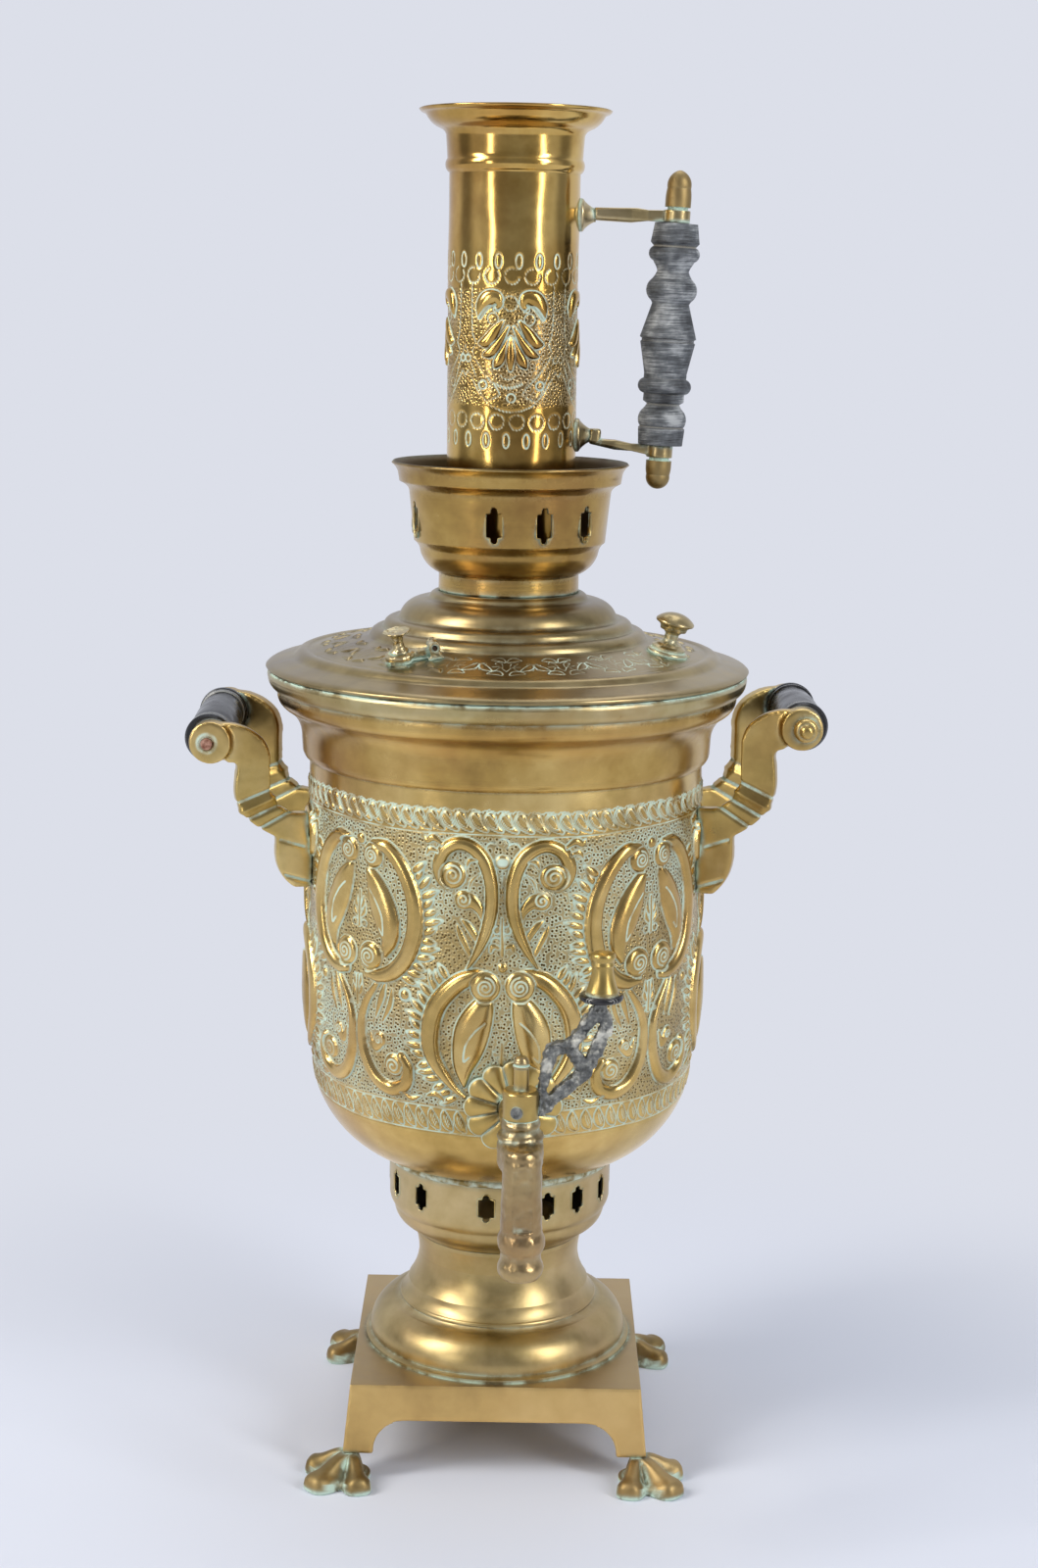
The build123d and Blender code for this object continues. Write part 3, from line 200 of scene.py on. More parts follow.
        eye = add(tree, "Math", {0: ground, 1: 0.22, 2: eye}, operation="MULTIPLY_ADD",
                  use_clamp=True).outputs[0]
        metal = add(tree, "Mix", {0: eye, 6: metal, 7: linear(GRIME_AND_SHADE)}, data_type="RGBA").outputs[2]

    soot = add(tree, "Attribute", attribute_name="soot").outputs["Fac"]
    metal = add(tree, "Mix", {0: soot, 6: metal, 7: linear(SOOT)}, data_type="RGBA").outputs[2]
    # Painted shade, partly dust too: faces that look up are turned toward a dull grey-brown.
    if top_dust_and_shade:
        facing = add(tree, "SeparateXYZ", {0: add(tree, "NewGeometry").outputs["True Normal"]}).outputs[2]
        dust = add(tree, "MapRange", {0: facing, 1: 0.6, 2: 0.95, 3: 0.0, 4: top_dust_and_shade}).outputs[0]
        metal = add(tree, "Mix", {0: dust, 6: metal, 7: linear(DUST_AND_SHADE)}, data_type="RGBA").outputs[2]
    # Painted shade: where ambient occlusion finds a recess, the metal is darkened toward a dark brown.
    painted_recess_shade = add(tree, "MapRange", {0: shade, 1: 0.98, 2: 0.6, 3: 0.0, 4: 0.5}).outputs[0]
    metal = add(tree, "Mix", {0: painted_recess_shade, 6: metal, 7: linear(GRIME_AND_SHADE)}, data_type="RGBA").outputs[2]
    colour = add(tree, "Mix", {0: salts, 6: metal, 7: linear(VERDIGRIS)}, data_type="RGBA").outputs[2]
    clean = add(tree, "Math", {0: 1.0, 1: salts}, operation="SUBTRACT", use_clamp=True).outputs[0]
    gloss = add(tree, "MapRange", {0: blotch, 1: 0.3, 2: 0.7, 3: rough * 0.88, 4: rough * 1.15}).outputs[0]
    roughness = add(tree, "Mix", {0: salts, 2: gloss, 3: 0.85}, data_type="FLOAT").outputs[0]
    roughness = add(tree, "Mix", {0: soot, 2: roughness, 3: 0.6}, data_type="FLOAT").outputs[0]
    bump = add(tree, "Bump", {"Strength": 0.35, "Distance": 0.2 * MM, "Height": height}).outputs[0]
    surface = add(tree, "BsdfPrincipled",
                  {"Base Color": colour, "Metallic": clean, "Roughness": roughness,
                   "Normal": bump}).outputs[0]
    add(tree, "OutputMaterial", {"Surface": surface})
    return material


def spun_brass():
    """Sheet brass spun on a lathe and polished for years: fine rings, soft streaked gloss."""
    return aged_brass("spun_brass", "#907240", "#B09152", "#C8AB6A", rough=0.24, spun=0.9, dents=0.1)


def foot_brass():
    """The same spun sheet on the foot, paler where it is cleaned with the tray it stands on."""
    return aged_brass("foot_brass", "#978455", "#B19D6F", "#C6B288", rough=0.36, spun=0.6, dents=0.05)


def tarnished_lid_brass():
    """The lid's top, handled little: greyer brown and duller, its upward faces dulled partly by dust and
    partly by painted shade.
    """
    return aged_brass("tarnished_lid_brass", "#726142", "#908059", "#AA986E", rough=0.32, spun=0.5,
                      copper=0.1, top_dust_and_shade=0.2)


def chased_brass():
    """Sheet brass raised from inside and chased from outside, with a ring-punched ground."""
    return aged_brass("chased_brass", "#9A8148", "#BDA163", "#D8BE80", rough=0.24, dents=0.12,
                      verdigris=0.4, punched=TANK_R, seam=1.6, open_sky=0.78, limy=0.95)


def chimney_brass():
    """Polished sheet rolled to a pipe, hammer-marked and warm."""
    return aged_brass("chimney_brass", "#937436", "#BA9650", "#D6B66E", rough=0.16,
                      dents=0.7, seam=1.6, verdigris=0.25, punched=CHIMNEY_R, limy=0.45, copper=0.35)


def seam_brass():
    """The lip where lid and tank meet: spun sheet that salts have crusted all round."""
    return aged_brass("seam_brass", "#8F7D50", "#A89868", "#BFB389", rough=0.3, spun=0.9, verdigris=1.2,
                      seam=7.0, open_sky=0.95)


def cast_brass():
    """Sand-cast brass filed smooth: slightly pitted, bright on worn edges."""
    return aged_brass("cast_brass", "#97804A", "#B89F60", "#D2BA7E", rough=0.31, verdigris=0.8, dents=0.35)


def paw_brass():
    """Cast brass near the floor, never polished: dull brown, with damp salts caked in the clefts."""
    return aged_brass("paw_brass", "#7C6A44", "#958157", "#AC976A", rough=0.5, verdigris=1.2, dents=0.3,
                      seam=5.0, copper=0.1)


def crusted_brass():
    """Small castings that are wetted and handled but never polished: a greyish film, thick pale salts."""
    return aged_brass("crusted_brass", "#887655", "#A5946B", "#C0B18A", rough=0.31, verdigris=1.5, dents=0.3,
                      seam=2.6, open_sky=0.97, copper=0.25)


def plate_brass():
    """Flat cast plate with a dull, even, stoned face, its top darkened grey-brown partly by dust and partly
    by painted shade.
    """
    return aged_brass("plate_brass", "#B09460", "#C6A970", "#D3B880", rough=0.46, verdigris=0.5, dents=0.15,
                      top_dust_and_shade=0.45, copper=0.1)


def pitted_metal(name, pits, detail, dark, pale, metallic, roughness, depth):
    """Rough metal whose pits are dark: how many there are to a metre, and how strongly they bump."""
    material, tree = new_material(name)
    place = add(tree, "TexCoord").outputs["Object"]
    spots = add(tree, "TexNoise", {"Vector": place, "Scale": pits, "Detail": detail}).outputs[0]
    colour = add(tree, "ValToRGB", {0: spots}, stops=[(0.35, linear(dark)), (0.65, linear(pale))]).outputs[0]
    bump = add(tree, "Bump", {"Strength": depth, "Distance": 0.3 * MM, "Height": spots}).outputs[0]
    surface = add(tree, "BsdfPrincipled",
                  {"Base Color": colour, "Metallic": metallic, "Roughness": roughness,
                   "Normal": bump}).outputs[0]
    add(tree, "OutputMaterial", {"Surface": surface})
    return material


def dark_iron():
    """Forged iron, brown-black and rough, with scale in spots of 3 mm."""
    return pitted_metal("dark_iron", 300.0, 6.0, "#241C17", "#5A4636", metallic=0.7, roughness=0.6, depth=0.5)


def copper_rod_end():
    """Peened copper rod: pinkish brown where the hammer spread it, in marks of 2 mm."""
    return pitted_metal("copper_rod_end", 500.0, 4.0, "#80523F", "#CBA08C", metallic=0.8, roughness=0.5,
                        depth=0.6)


def black_lacquered_wood():
    """Turned hardwood under black lacquer: glossy, with pale worn rings near its ends.

    Fibres of 1.4 mm run along the grip, and the gloss is worn in patches of 8 mm.
    """
    material, tree = new_material("black_lacquered_wood")
    place = add(tree, "TexCoord").outputs["Object"]
    stretched = add(tree, "VectorMath", {0: place, 1: (1.0, 0.08, 1.0)}, operation="MULTIPLY").outputs[0]
    fibre = add(tree, "TexNoise", {"Vector": stretched, "Scale": 700.0, "Detail": 4.0}).outputs[0]
    wear = add(tree, "TexNoise", {"Vector": place, "Scale": 120.0, "Detail": 5.0}).outputs[0]
    shade = add(tree, "AmbientOcclusion", {"Distance": 1.6 * MM}, samples=8).outputs["AO"]
    dust = add(tree, "MapRange", {0: shade, 1: 0.8, 2: 0.5, 3: 0.0, 4: 0.8}).outputs[0]
    colour = add(tree, "ValToRGB", {0: wear},
                 stops=[(0.4, linear("#0B0B0D")), (0.75, linear("#26262A"))]).outputs[0]
    # Two rings near each end have lost their lacquer.
    along = add(tree, "SeparateXYZ", {0: add(tree, "TexCoord").outputs["Generated"]}).outputs[1]
    along = add(tree, "Math", {0: along, 1: 0.5}, operation="SUBTRACT").outputs[0]
    along = add(tree, "Math", {0: along}, operation="ABSOLUTE").outputs[0]
    for ring in (0.36, 0.41):
        worn = add(tree, "Math", {0: along, 1: ring, 2: 0.006}, operation="COMPARE").outputs[0]
        dust = add(tree, "Math", {0: worn, 1: 0.7, 2: dust}, operation="MULTIPLY_ADD",
                   use_clamp=True).outputs[0]
    colour = add(tree, "Mix", {0: dust, 6: colour, 7: linear("#A9ABA8")}, data_type="RGBA").outputs[2]
    roughness = add(tree, "MapRange", {0: wear, 1: 0.3, 2: 0.7, 3: 0.16, 4: 0.4}).outputs[0]
    bump = add(tree, "Bump", {"Strength": 0.25, "Distance": 0.2 * MM, "Height": fibre}).outputs[0]
    surface = add(tree, "BsdfPrincipled",
                  {"Base Color": colour, "Roughness": roughness, "Normal": bump}).outputs[0]
    add(tree, "OutputMaterial", {"Surface": surface})
    return material


def weathered_wood():
    """Turned wood, once black, worn to slate grey with pale dusty fibres and chalky grooves.

    Its fibres show as flecks of 1 to 10 mm that lie round the grip, over patches of 11 mm.
    """
    material, tree = new_material("weathered_wood")
    place = add(tree, "TexCoord").outputs["Object"]
    stretched = add(tree, "VectorMath", {0: place, 1: (0.10, 0.10, 1.6)}, operation="MULTIPLY").outputs[0]
    fibre = add(tree, "TexNoise",
                {"Vector": stretched, "Scale": 900.0, "Detail": 6.0, "Roughness": 0.7}).outputs[0]
    wear = add(tree, "TexNoise", {"Vector": place, "Scale": 90.0, "Detail": 5.0}).outputs[0]
    mixed = add(tree, "Mix", {0: 0.55, 2: fibre, 3: wear}, data_type="FLOAT").outputs[0]
    colour = add(tree, "ValToRGB", {0: mixed},
                 stops=[(0.40, linear("#26282B")), (0.51, linear("#5A5E62")),
                        (0.62, linear("#A6A9AA"))]).outputs[0]
    shade = add(tree, "AmbientOcclusion", {"Distance": 3.0 * MM}, samples=8).outputs["AO"]
    dust = add(tree, "MapRange", {0: shade, 1: 0.75, 2: 0.45, 3: 0.0, 4: 0.75}).outputs[0]
    colour = add(tree, "Mix", {0: dust, 6: colour, 7: linear("#B9B4A6")}, data_type="RGBA").outputs[2]
    bump = add(tree, "Bump", {"Strength": 0.5, "Distance": 0.4 * MM, "Height": fibre}).outputs[0]
    surface = add(tree, "BsdfPrincipled",
                  {"Base Color": colour, "Roughness": 0.62, "Normal": bump}).outputs[0]
    add(tree, "OutputMaterial", {"Surface": surface})
    return material


def cast_white_metal():
    """A rough cast repair in lead-grey white metal: lumps of 4 mm, whitish corrosion in spots of 9 mm."""
    material, tree = new_material("cast_white_metal")
    place = add(tree, "TexCoord").outputs["Object"]
    lump = add(tree, "TexNoise",
               {"Vector": place, "Scale": 260.0, "Detail": 6.0, "Roughness": 0.65}).outputs[0]
    bloom = add(tree, "TexNoise", {"Vector": place, "Scale": 110.0, "Detail": 4.0}).outputs[0]
    colour = add(tree, "ValToRGB", {0: lump},
                 stops=[(0.35, linear("#4A4C4C")), (0.55, linear("#7C7E7C")),
                        (0.68, linear("#A8A8A0"))]).outputs[0]
    white = add(tree, "MapRange", {0: bloom, 1: 0.56, 2: 0.66, 3: 0.0, 4: 0.8}).outputs[0]
    colour = add(tree, "Mix", {0: white, 6: colour, 7: linear("#D2D0C4")}, data_type="RGBA").outputs[2]
    metallic = add(tree, "MapRange", {0: white, 1: 0.0, 2: 0.8, 3: 0.75, 4: 0.1}).outputs[0]
    bump = add(tree, "Bump", {"Strength": 0.8, "Distance": 0.6 * MM, "Height": lump}).outputs[0]
    surface = add(tree, "BsdfPrincipled",
                  {"Base Color": colour, "Metallic": metallic, "Roughness": 0.48, "Normal": bump}).outputs[0]
    add(tree, "OutputMaterial", {"Surface": surface})
    return material


def tin_solder():
    """Soft solder run into a seam: dull grey, crusted with mint salts in lumps of 4.5 mm."""
    material, tree = new_material("tin_solder")
    place = add(tree, "TexCoord").outputs["Object"]
    crust = add(tree, "TexNoise", {"Vector": place, "Scale": 220.0, "Detail": 6.0}).outputs[0]
    colour = add(tree, "ValToRGB", {0: crust},
                 stops=[(0.38, linear("#8B7A4E")), (0.5, linear("#A9A88C")),
                        (0.62, linear("#C4D0C0"))]).outputs[0]
    metallic = add(tree, "MapRange", {0: crust, 1: 0.42, 2: 0.55, 3: 0.8, 4: 0.0}).outputs[0]
    bump = add(tree, "Bump", {"Strength": 0.6, "Distance": 0.4 * MM, "Height": crust}).outputs[0]
    surface = add(tree, "BsdfPrincipled",
                  {"Base Color": colour, "Metallic": metallic, "Roughness": 0.55, "Normal": bump}).outputs[0]
    add(tree, "OutputMaterial", {"Surface": surface})
    return material


# ---------------------------------------------------------------- chasing on sheet metal
def smooth_route(route, step):
    """A Catmull-Rom curve through the rows of route, whose columns are u, v and half-width."""
    knots = np.asarray(route, float)
    padded = np.vstack([2 * knots[0] - knots[1], knots, 2 * knots[-1] - knots[-2]])
    pieces = []
    for a, b, c, d in zip(padded, padded[1:], padded[2:], padded[3:]):
        count = max(2, int(math.hypot(*(c - b)[:2]) / step))
        t = np.linspace(0, 1, count, endpoint=False)[:, None]
        pieces.append(0.5 * (2 * b + (c - a) * t + (2 * a - 5 * b + 4 * c - d) * t ** 2
                             + (3 * b - a - 3 * c + d) * t ** 3))
    return np.vstack(pieces + [knots[-1:]])


class Sheet:
    """A strip of metal unrolled flat, u across and v up in millimetres, and what the chaser did to it.

    height is the raised work, groove is 1 in the middle of a chased line, and smooth is 1 where the
    ring punch hasn't been.
    """

    def __init__(self, left, right, low, high, step):
        self.left, self.low, self.step = left, low, step
        self.u = np.arange(left, right + step, step)
        self.v = np.arange(low, high + step, step)
        self.height, self.groove, self.smooth = (np.zeros((len(self.v), len(self.u))) for _ in range(3))

    def distances(self, points, reach):
        """For each cell near the points: how deep it lies inside them, and how high their round backs are."""
        widest = reach + points[:, 2].max()
        low_u, low_v = (points[:, :2].min(axis=0) - widest - (self.left, self.low)) / self.step
        high_u, high_v = (points[:, :2].max(axis=0) + widest - (self.left, self.low)) / self.step
        cols = slice(max(0, int(low_u)), max(0, int(high_u) + 1))
        rows = slice(max(0, int(low_v)), max(0, int(high_v) + 1))
        us, vs = self.u[cols], self.v[rows]
        depth = np.full((len(vs), len(us)), -reach)
        dome = np.zeros_like(depth)
        for u, v, half in points:
            near_u = slice(*np.searchsorted(us, (u - half - reach, u + half + reach)))
            near_v = slice(*np.searchsorted(vs, (v - half - reach, v + half + reach)))
            away = np.hypot(us[None, near_u] - u, vs[near_v, None] - v)
            depth[near_v, near_u] = np.maximum(depth[near_v, near_u], half - away)
            back = np.sqrt(np.clip(1 - (away / half) ** 2, 0, 1)) * half / (half + 1.6)
            dome[near_v, near_u] = np.maximum(dome[near_v, near_u], back)
        return rows, cols, depth, dome

    def band(self, route, rise, line=0.42):
        """Raises a round-backed band that lies over earlier work, with a chased line round it."""
        points = smooth_route(route, 0.4)
        points[:, 2] = np.maximum(points[:, 2], 0.25)
        rows, cols, depth, dome = self.distances(points, 1.6)
        inside = np.clip(depth / 0.5 + 0.5, 0, 1)
        self.height[rows, cols] = self.height[rows, cols] * (1 - inside) + inside * dome * rise
        edge = np.exp(-((depth + 0.3) / line) ** 2)
        self.groove[rows, cols] = np.maximum(self.groove[rows, cols] * (1 - inside), edge)
        self.smooth[rows, cols] = np.maximum(self.smooth[rows, cols], np.clip(depth + 1.0, 0, 1))

    def line(self, route, half=0.35, beads=0.0):
        """Chases a plain line, or a row of beads that are so many millimetres apart."""
        points = smooth_route([(u, v, half) for u, v in route], 0.3)
        rows, cols, depth, dome = self.distances(points, 1.2)
        mark = np.exp(-(np.minimum(depth - half, 0) / (1.2 * half)) ** 2)
        if beads:
            mark *= 0.35 + 0.55 * np.cos(np.pi * (self.u[None, cols] + 0.6 * self.v[rows, None]) / beads) ** 2
        self.groove[rows, cols] = np.maximum(self.groove[rows, cols], mark)

    def ring(self, u, v, radius, half=0.35, start=0, sweep=360, beads=0.0, squash=1.0):
        """Chases a circle or an arc, with angles in degrees from the u axis."""
        angles = np.radians(np.linspace(start, start + sweep, max(6, int(abs(sweep) / 20))))
        self.line([(u + radius * math.cos(a), v + radius * squash * math.sin(a)) for a in angles], half,
                  beads)

    def volute(self, u, v, radius, hand, start=90, turns=1.75, half=0.42):
        """Chases a spiral that runs inwards from radius, clockwise where hand is -1."""
        shares = np.linspace(0, 1, int(14 * turns))
        angles = math.radians(start) + hand * math.tau * turns * shares
        reach = radius * (1 - 0.86 * shares)
        self.line(list(zip(u + reach * np.cos(angles), v + reach * np.sin(angles))), half)

    def pearl(self, u, v, radius, rise):
        self.band([(u - 0.05, v, radius), (u + 0.05, v, radius)], rise)

    def read(self, field, u, v):
        """The field between its cells, at arrays of places."""
        x = np.clip((u - self.left) / self.step, 0, len(self.u) - 1.001)
        y = np.clip((v - self.low) / self.step, 0, len(self.v) - 1.001)
        i, j = y.astype(int), x.astype(int)
        fy, fx = y - i, x - j
        return ((field[i, j] * (1 - fx) + field[i, j + 1] * fx) * (1 - fy)
                + (field[i + 1, j] * (1 - fx) + field[i + 1, j + 1] * fx) * fy)


def mirrored(route, side, across):
    """A route moved to its motif's middle, and turned over where side is -1."""
    return [(across + side * point[0], *point[1:]) for point in route]


# The tank's field holds two motifs by turns, eight in all. Heights are above the tank's bottom.
MOTIF_PITCH = math.tau * TANK_R / 8
FIELD_LOW, FIELD_HIGH = 48.0, 180.4
FRIEZE_PITCH = MOTIF_PITCH / 11
FRIEZE_FOOT = 35.4
CHASED_LOW, CHASED_HIGH = 30.0, 200.0     # the strip of the wall that is worked at all
SPRIG_FEET = (126.5, 68)


def chase_scroll_motif(sheet, at):
    """Two S-scrolls that rise from a round medallion with a pair of nested lobes."""
    for side in (-1, 1):
        def band(route, rise):
            sheet.band(mirrored(route, side, at), rise)

        # The upper scroll, its second curl and its leaves.
        band([(22, 138, 0.4), (20.5, 134, 1.3), (17, 127, 1.2), (14, 121, 0.4)], 1.6)
        band([(19.5, 140.5, 0.4), (16.5, 138, 1.5), (13, 133, 1.5), (10.5, 128, 0.5)], 1.6)
        band([(18.6, 150, 4.4), (14.5, 149.4, 3.2), (10.5, 145.4, 2.0), (8.8, 139.5, 0.5)], 2.0)
        sheet.volute(at + side * 18.6, 150.2, 3.7, side, 40, 1.6)
        band([(17.5, 117, 0.5), (11.5, 127, 2.0), (7.2, 137, 2.9), (5.0, 147, 3.1), (5.2, 158, 3.2),
              (8.2, 168, 3.4), (13.8, 174.2, 3.3), (20.6, 176.2, 3.1), (27.4, 173, 3.2), (31, 166, 3.2),
              (29.6, 159.6, 3.0), (26, 156.8, 2.6)], 4.0)
        band([(23.6, 161.4, 6.2), (23.7, 161.5, 6.2)], 2.6)
        sheet.volute(at + side * 23.6, 161.4, 5.2, side, 180 if side < 0 else 0, 2.0)
        band([(11, 162, 0.3), (14.5, 159, 0.5), (16, 154.5, 0.3)], 0.8)
        band([(12, 168.6, 0.3), (15.5, 168.4, 0.9), (17, 165.4, 0.3)], 0.9)
        # Leaf sprays in the corners over the scrolls.
        band([(29, 175.5, 0.6), (33.5, 178.2, 1.5), (37, 176.6, 1.2), (38.3, 178.6, 0.3)], 2.2)
        band([(31, 172, 0.4), (35.5, 172.8, 1.0), (37.6, 170, 0.3)], 1.5)
        # The round medallion: outer band, lobe and nested comma.
        band([(15.5, 54.5, 0.6), (23.5, 61.5, 2.1), (32.4, 74, 3.8), (34.2, 86, 4.4), (31.4, 99, 4.5),
              (23, 109.6, 4.3), (14, 114.4, 3.4), (8.5, 115, 2.0)], 4.2)
        band([(8, 103, 3.4), (10.8, 97, 6.4), (13.8, 89, 8.2), (15.6, 80, 7.4), (17.4, 70.5, 4.6),
              (17, 61, 0.8)], 3.6)
        sheet.line(mirrored([(8, 93), (12.6, 88.6), (16.4, 82), (17, 74.4), (14.6, 76.4)], side, at), 0.45)
        band([(8.2, 109.5, 7.1), (8.3, 109.6, 7.1)], 2.6)
        sheet.volute(at + side * 8.2, 109.5, 4.8, side, 90, 2.2)
        # A short leaf under the band, beside the tap's rosette.
        band([(27, 52, 0.4), (31, 55, 1.4), (36, 53.5, 0.5)], 1.8)
        # The pair of sprigs: a stem of small curls between the scrolls and between the lobes.
        for base in SPRIG_FEET:
            sheet.ring(at + side * 3.0, base + 4, 2.2, 0.55, -60, side * 250)
            sheet.ring(at + side * 2.5, base + 9.5, 1.8, 0.5, 90, 300)
            band([(1, base + 1, 0.4), (4.6, base + 2.2, 1.1), (5.6, base - 0.5, 0.5)], 1.2)
        sheet.ring(at + side * 5, 174, 3.0, 0.55, 20, 150)
    for base in SPRIG_FEET:
        sheet.band([(at, base - 2, 0.8), (at, base + 7, 0.6), (at, base + 15, 0.4)], 1.2)
    sheet.ring(at, 176, 3.0, 0.55, 10, 160)
    sheet.line([(at, 164.8), (at, 156)], 0.5)
    sheet.pearl(at, 168, 3.4, 1.6)
    sheet.line([(at - 0.8, 168), (at + 0.8, 168)], 2.0)
    sheet.pearl(at, 118.5, 2.2, 2.0)


def chase_lyre_motif(sheet, at):
    """An oval medallion of two nested lobes, which stands on a lyre with a curl at each foot."""
    for side in (-1, 1):
        def band(route, rise):
            sheet.band(mirrored(route, side, at), rise)

        # The lyre under the medallion.
        band([(17.5, 105, 0.5), (15.5, 98, 1.6), (12.2, 88, 0.5)], 1.8)
        band([(21.5, 103, 0.4), (20.5, 95, 1.3), (16.5, 86.5, 0.5)], 1.6)
        band([(14.8, 107, 0.8), (9.8, 100, 1.6), (5.2, 92, 2.1), (3.1, 83, 2.4), (4.4, 70, 3.0),
              (10.5, 58.6, 3.5), (20, 54, 3.5), (28.6, 57.6, 3.3), (30.4, 65.4, 3.1), (27.6, 70.6, 2.7)], 3.8)
        band([(23, 66, 5.6), (23.1, 66.1, 5.6)], 2.5)
        sheet.volute(at + side * 23, 66, 4.7, -side, 0 if side > 0 else 180, 1.9)
        band([(8.6, 79.6, 0.5), (11.5, 73, 1.8), (15, 77.4, 3.3)], 1.9)
        sheet.volute(at + side * 14.4, 77, 2.4, side, 200 if side < 0 else -20, 1.4)
        band([(27, 53.5, 0.4), (31.5, 50.8, 1.3), (36.6, 52.4, 0.4)], 1.8)
        # The oval medallion.
        band([(8, 108.5, 2.6), (15, 108.4, 3.3), (22.8, 112.4, 4.1), (29.6, 121.6, 4.4), (33, 135, 4.5),
              (31.8, 149.6, 4.3), (25.8, 162.4, 4.0), (17, 170.6, 3.4), (9, 170.8, 2.8)], 4.2)
        band([(6.4, 158.5, 2.0), (9.6, 153, 4.8), (13.4, 145, 7.0), (17.2, 136, 7.0), (19.4, 127, 4.4),
              (17.6, 118.4, 0.8)], 3.8)
        sheet.line(mirrored([(8, 150), (12.4, 145), (16.4, 137.6), (17, 129), (14.6, 131.6)], side, at), 0.45)
        band([(8, 165.6, 6.0), (8.1, 165.7, 6.0)], 2.5)
        sheet.volute(at + side * 8, 165.6, 4.1, side, 90, 2.1)
        band([(8, 116.6, 6.8), (8.1, 116.7, 6.8)], 2.6)
        sheet.volute(at + side * 8, 116.6, 4.7, -side, -90, 2.1)
        sheet.pearl(at + side * 28.6, 101.5, 2.2, 1.8)
        sheet.ring(at + side * 28.6, 101.5, 3.3, 0.35)
        for base, small in ((134, 1.0), (96, 0.8)):
            band([(0.6, base, 0.3), (3.2 * small, base + 3, 0.9), (3.6 * small, base + 6.4, 0.3)], 1.2)
            band([(0.6, base + 4, 0.3), (2.4 * small, base + 7, 0.8), (2.6 * small, base + 10.4, 0.3)], 1.2)
            sheet.ring(at + side * 3.0 * small, base - 2.6, 1.8 * small, 0.4)
    for base, tall in ((130, 17), (92, 14)):
        sheet.band([(at, base, 0.6), (at, base + tall, 0.5)], 1.2)
    sheet.pearl(at, 172.4, 2.5, 2.2)


def chase_leaf_fringe(sheet, at, outline, pitch=3.9):
    """Short hatched leaves that stand out from a medallion's rim, each struck with a lining tool."""
    for side in (-1, 1):
        route = smooth_route(mirrored(outline, side, at), 0.5)
        along = np.cumsum(np.hypot(*np.diff(route[:, :2], axis=0).T))
        for i, place in enumerate(np.arange(2.0, along[-1] - 2, pitch)):
            k = int(np.searchsorted(along, place))
            heading = math.atan2(*(route[k + 1, :2] - route[k, :2])[::-1])
            outward = heading - side * math.pi / 2
            lean = outward + side * (0.35 + 0.22 * math.sin(2.3 * i))
            long = 7.2 + 1.6 * math.sin(1.9 * i + 0.7)
            u, v = route[k, 0] + 4.2 * math.cos(outward), route[k, 1] + 4.2 * math.sin(outward)
            tip = (u + long * math.cos(lean), v + long * math.sin(lean))
            belly = (0.55 * u + 0.45 * tip[0], 0.55 * v + 0.45 * tip[1])
            sheet.band([(u, v, 1.3), (*belly, 1.65), (*tip, 0.25)], 1.9, 0.5)
            sheet.line([belly, tip], 0.26)


def chase_friezes(sheet, low, high):
    """A row of slanting leaves over the field, and a shallower one under it."""
    for i in range(int(low / FRIEZE_PITCH) - 1, int(high / FRIEZE_PITCH) + 2):
        u = i * FRIEZE_PITCH
        sheet.band([(u + 0.4, 188.4, 2.4), (u + 1.6, 186.1, 2.1), (u + 3.8, 183.9, 1.3),
                    (u + 6.2, 182.5, 0.5)], 2.0)
        sheet.band([(u - 0.2, 188.8, 0.9), (u + 1.6, 186.4, 1.1), (u + 3.4, 184.4, 0.4)], 1.5, 0.3)
        for k in range(4):
            sheet.ring(u - 1.9 + 1.7 * k, 190.8 + 0.7 * math.sin(k + 0.6), 0.8, 0.3, 0, 180)
        sheet.band([(u + 0.3, 46.4, 0.6), (u + 0.6, 43.4, 2.0), (u + 1.9, 40, 2.3), (u + 3.8, 37.4, 0.8)],
                   1.3)
        sheet.line([(u + 0.2, 44.6), (u + 1.0, 41.6), (u + 2.4, 39)], 0.3)
        sheet.line([(u + 1.6, 44.2), (u + 2.2, 42), (u + 3.2, 40)], 0.25)


# Where the leaf fringes grow from: the outer rims of the two kinds of medallion.
SCROLL_RIM = [(17.8, 56, 1), (24, 62, 1), (33.2, 75, 1), (35.6, 86, 1), (33, 99, 1), (24.5, 110.5, 1),
              (19, 114, 1)]
LYRE_RIM = [(23.5, 111.4, 1), (30.6, 121, 1), (34.2, 135, 1), (33, 150, 1), (27, 163, 1)]


def chase_tank():
    """One quarter of the tank's ornament, from the middle of one lyre motif to the middle of the next."""
    sheet = Sheet(-MOTIF_PITCH - 1, MOTIF_PITCH + 1, CHASED_LOW, CHASED_HIGH, step=0.3)
    for at in (-MOTIF_PITCH, MOTIF_PITCH):
        chase_leaf_fringe(sheet, at, LYRE_RIM)
    chase_leaf_fringe(sheet, 0, SCROLL_RIM)
    chase_scroll_motif(sheet, 0)
    for at in (-MOTIF_PITCH, MOTIF_PITCH):
        chase_lyre_motif(sheet, at)
    chase_friezes(sheet, -MOTIF_PITCH, MOTIF_PITCH)
    for level in (FIELD_LOW, FIELD_HIGH, FRIEZE_FOOT):
        sheet.line([(-MOTIF_PITCH - 2, level), (0, level), (MOTIF_PITCH + 2, level)], 0.35)
    return sheet


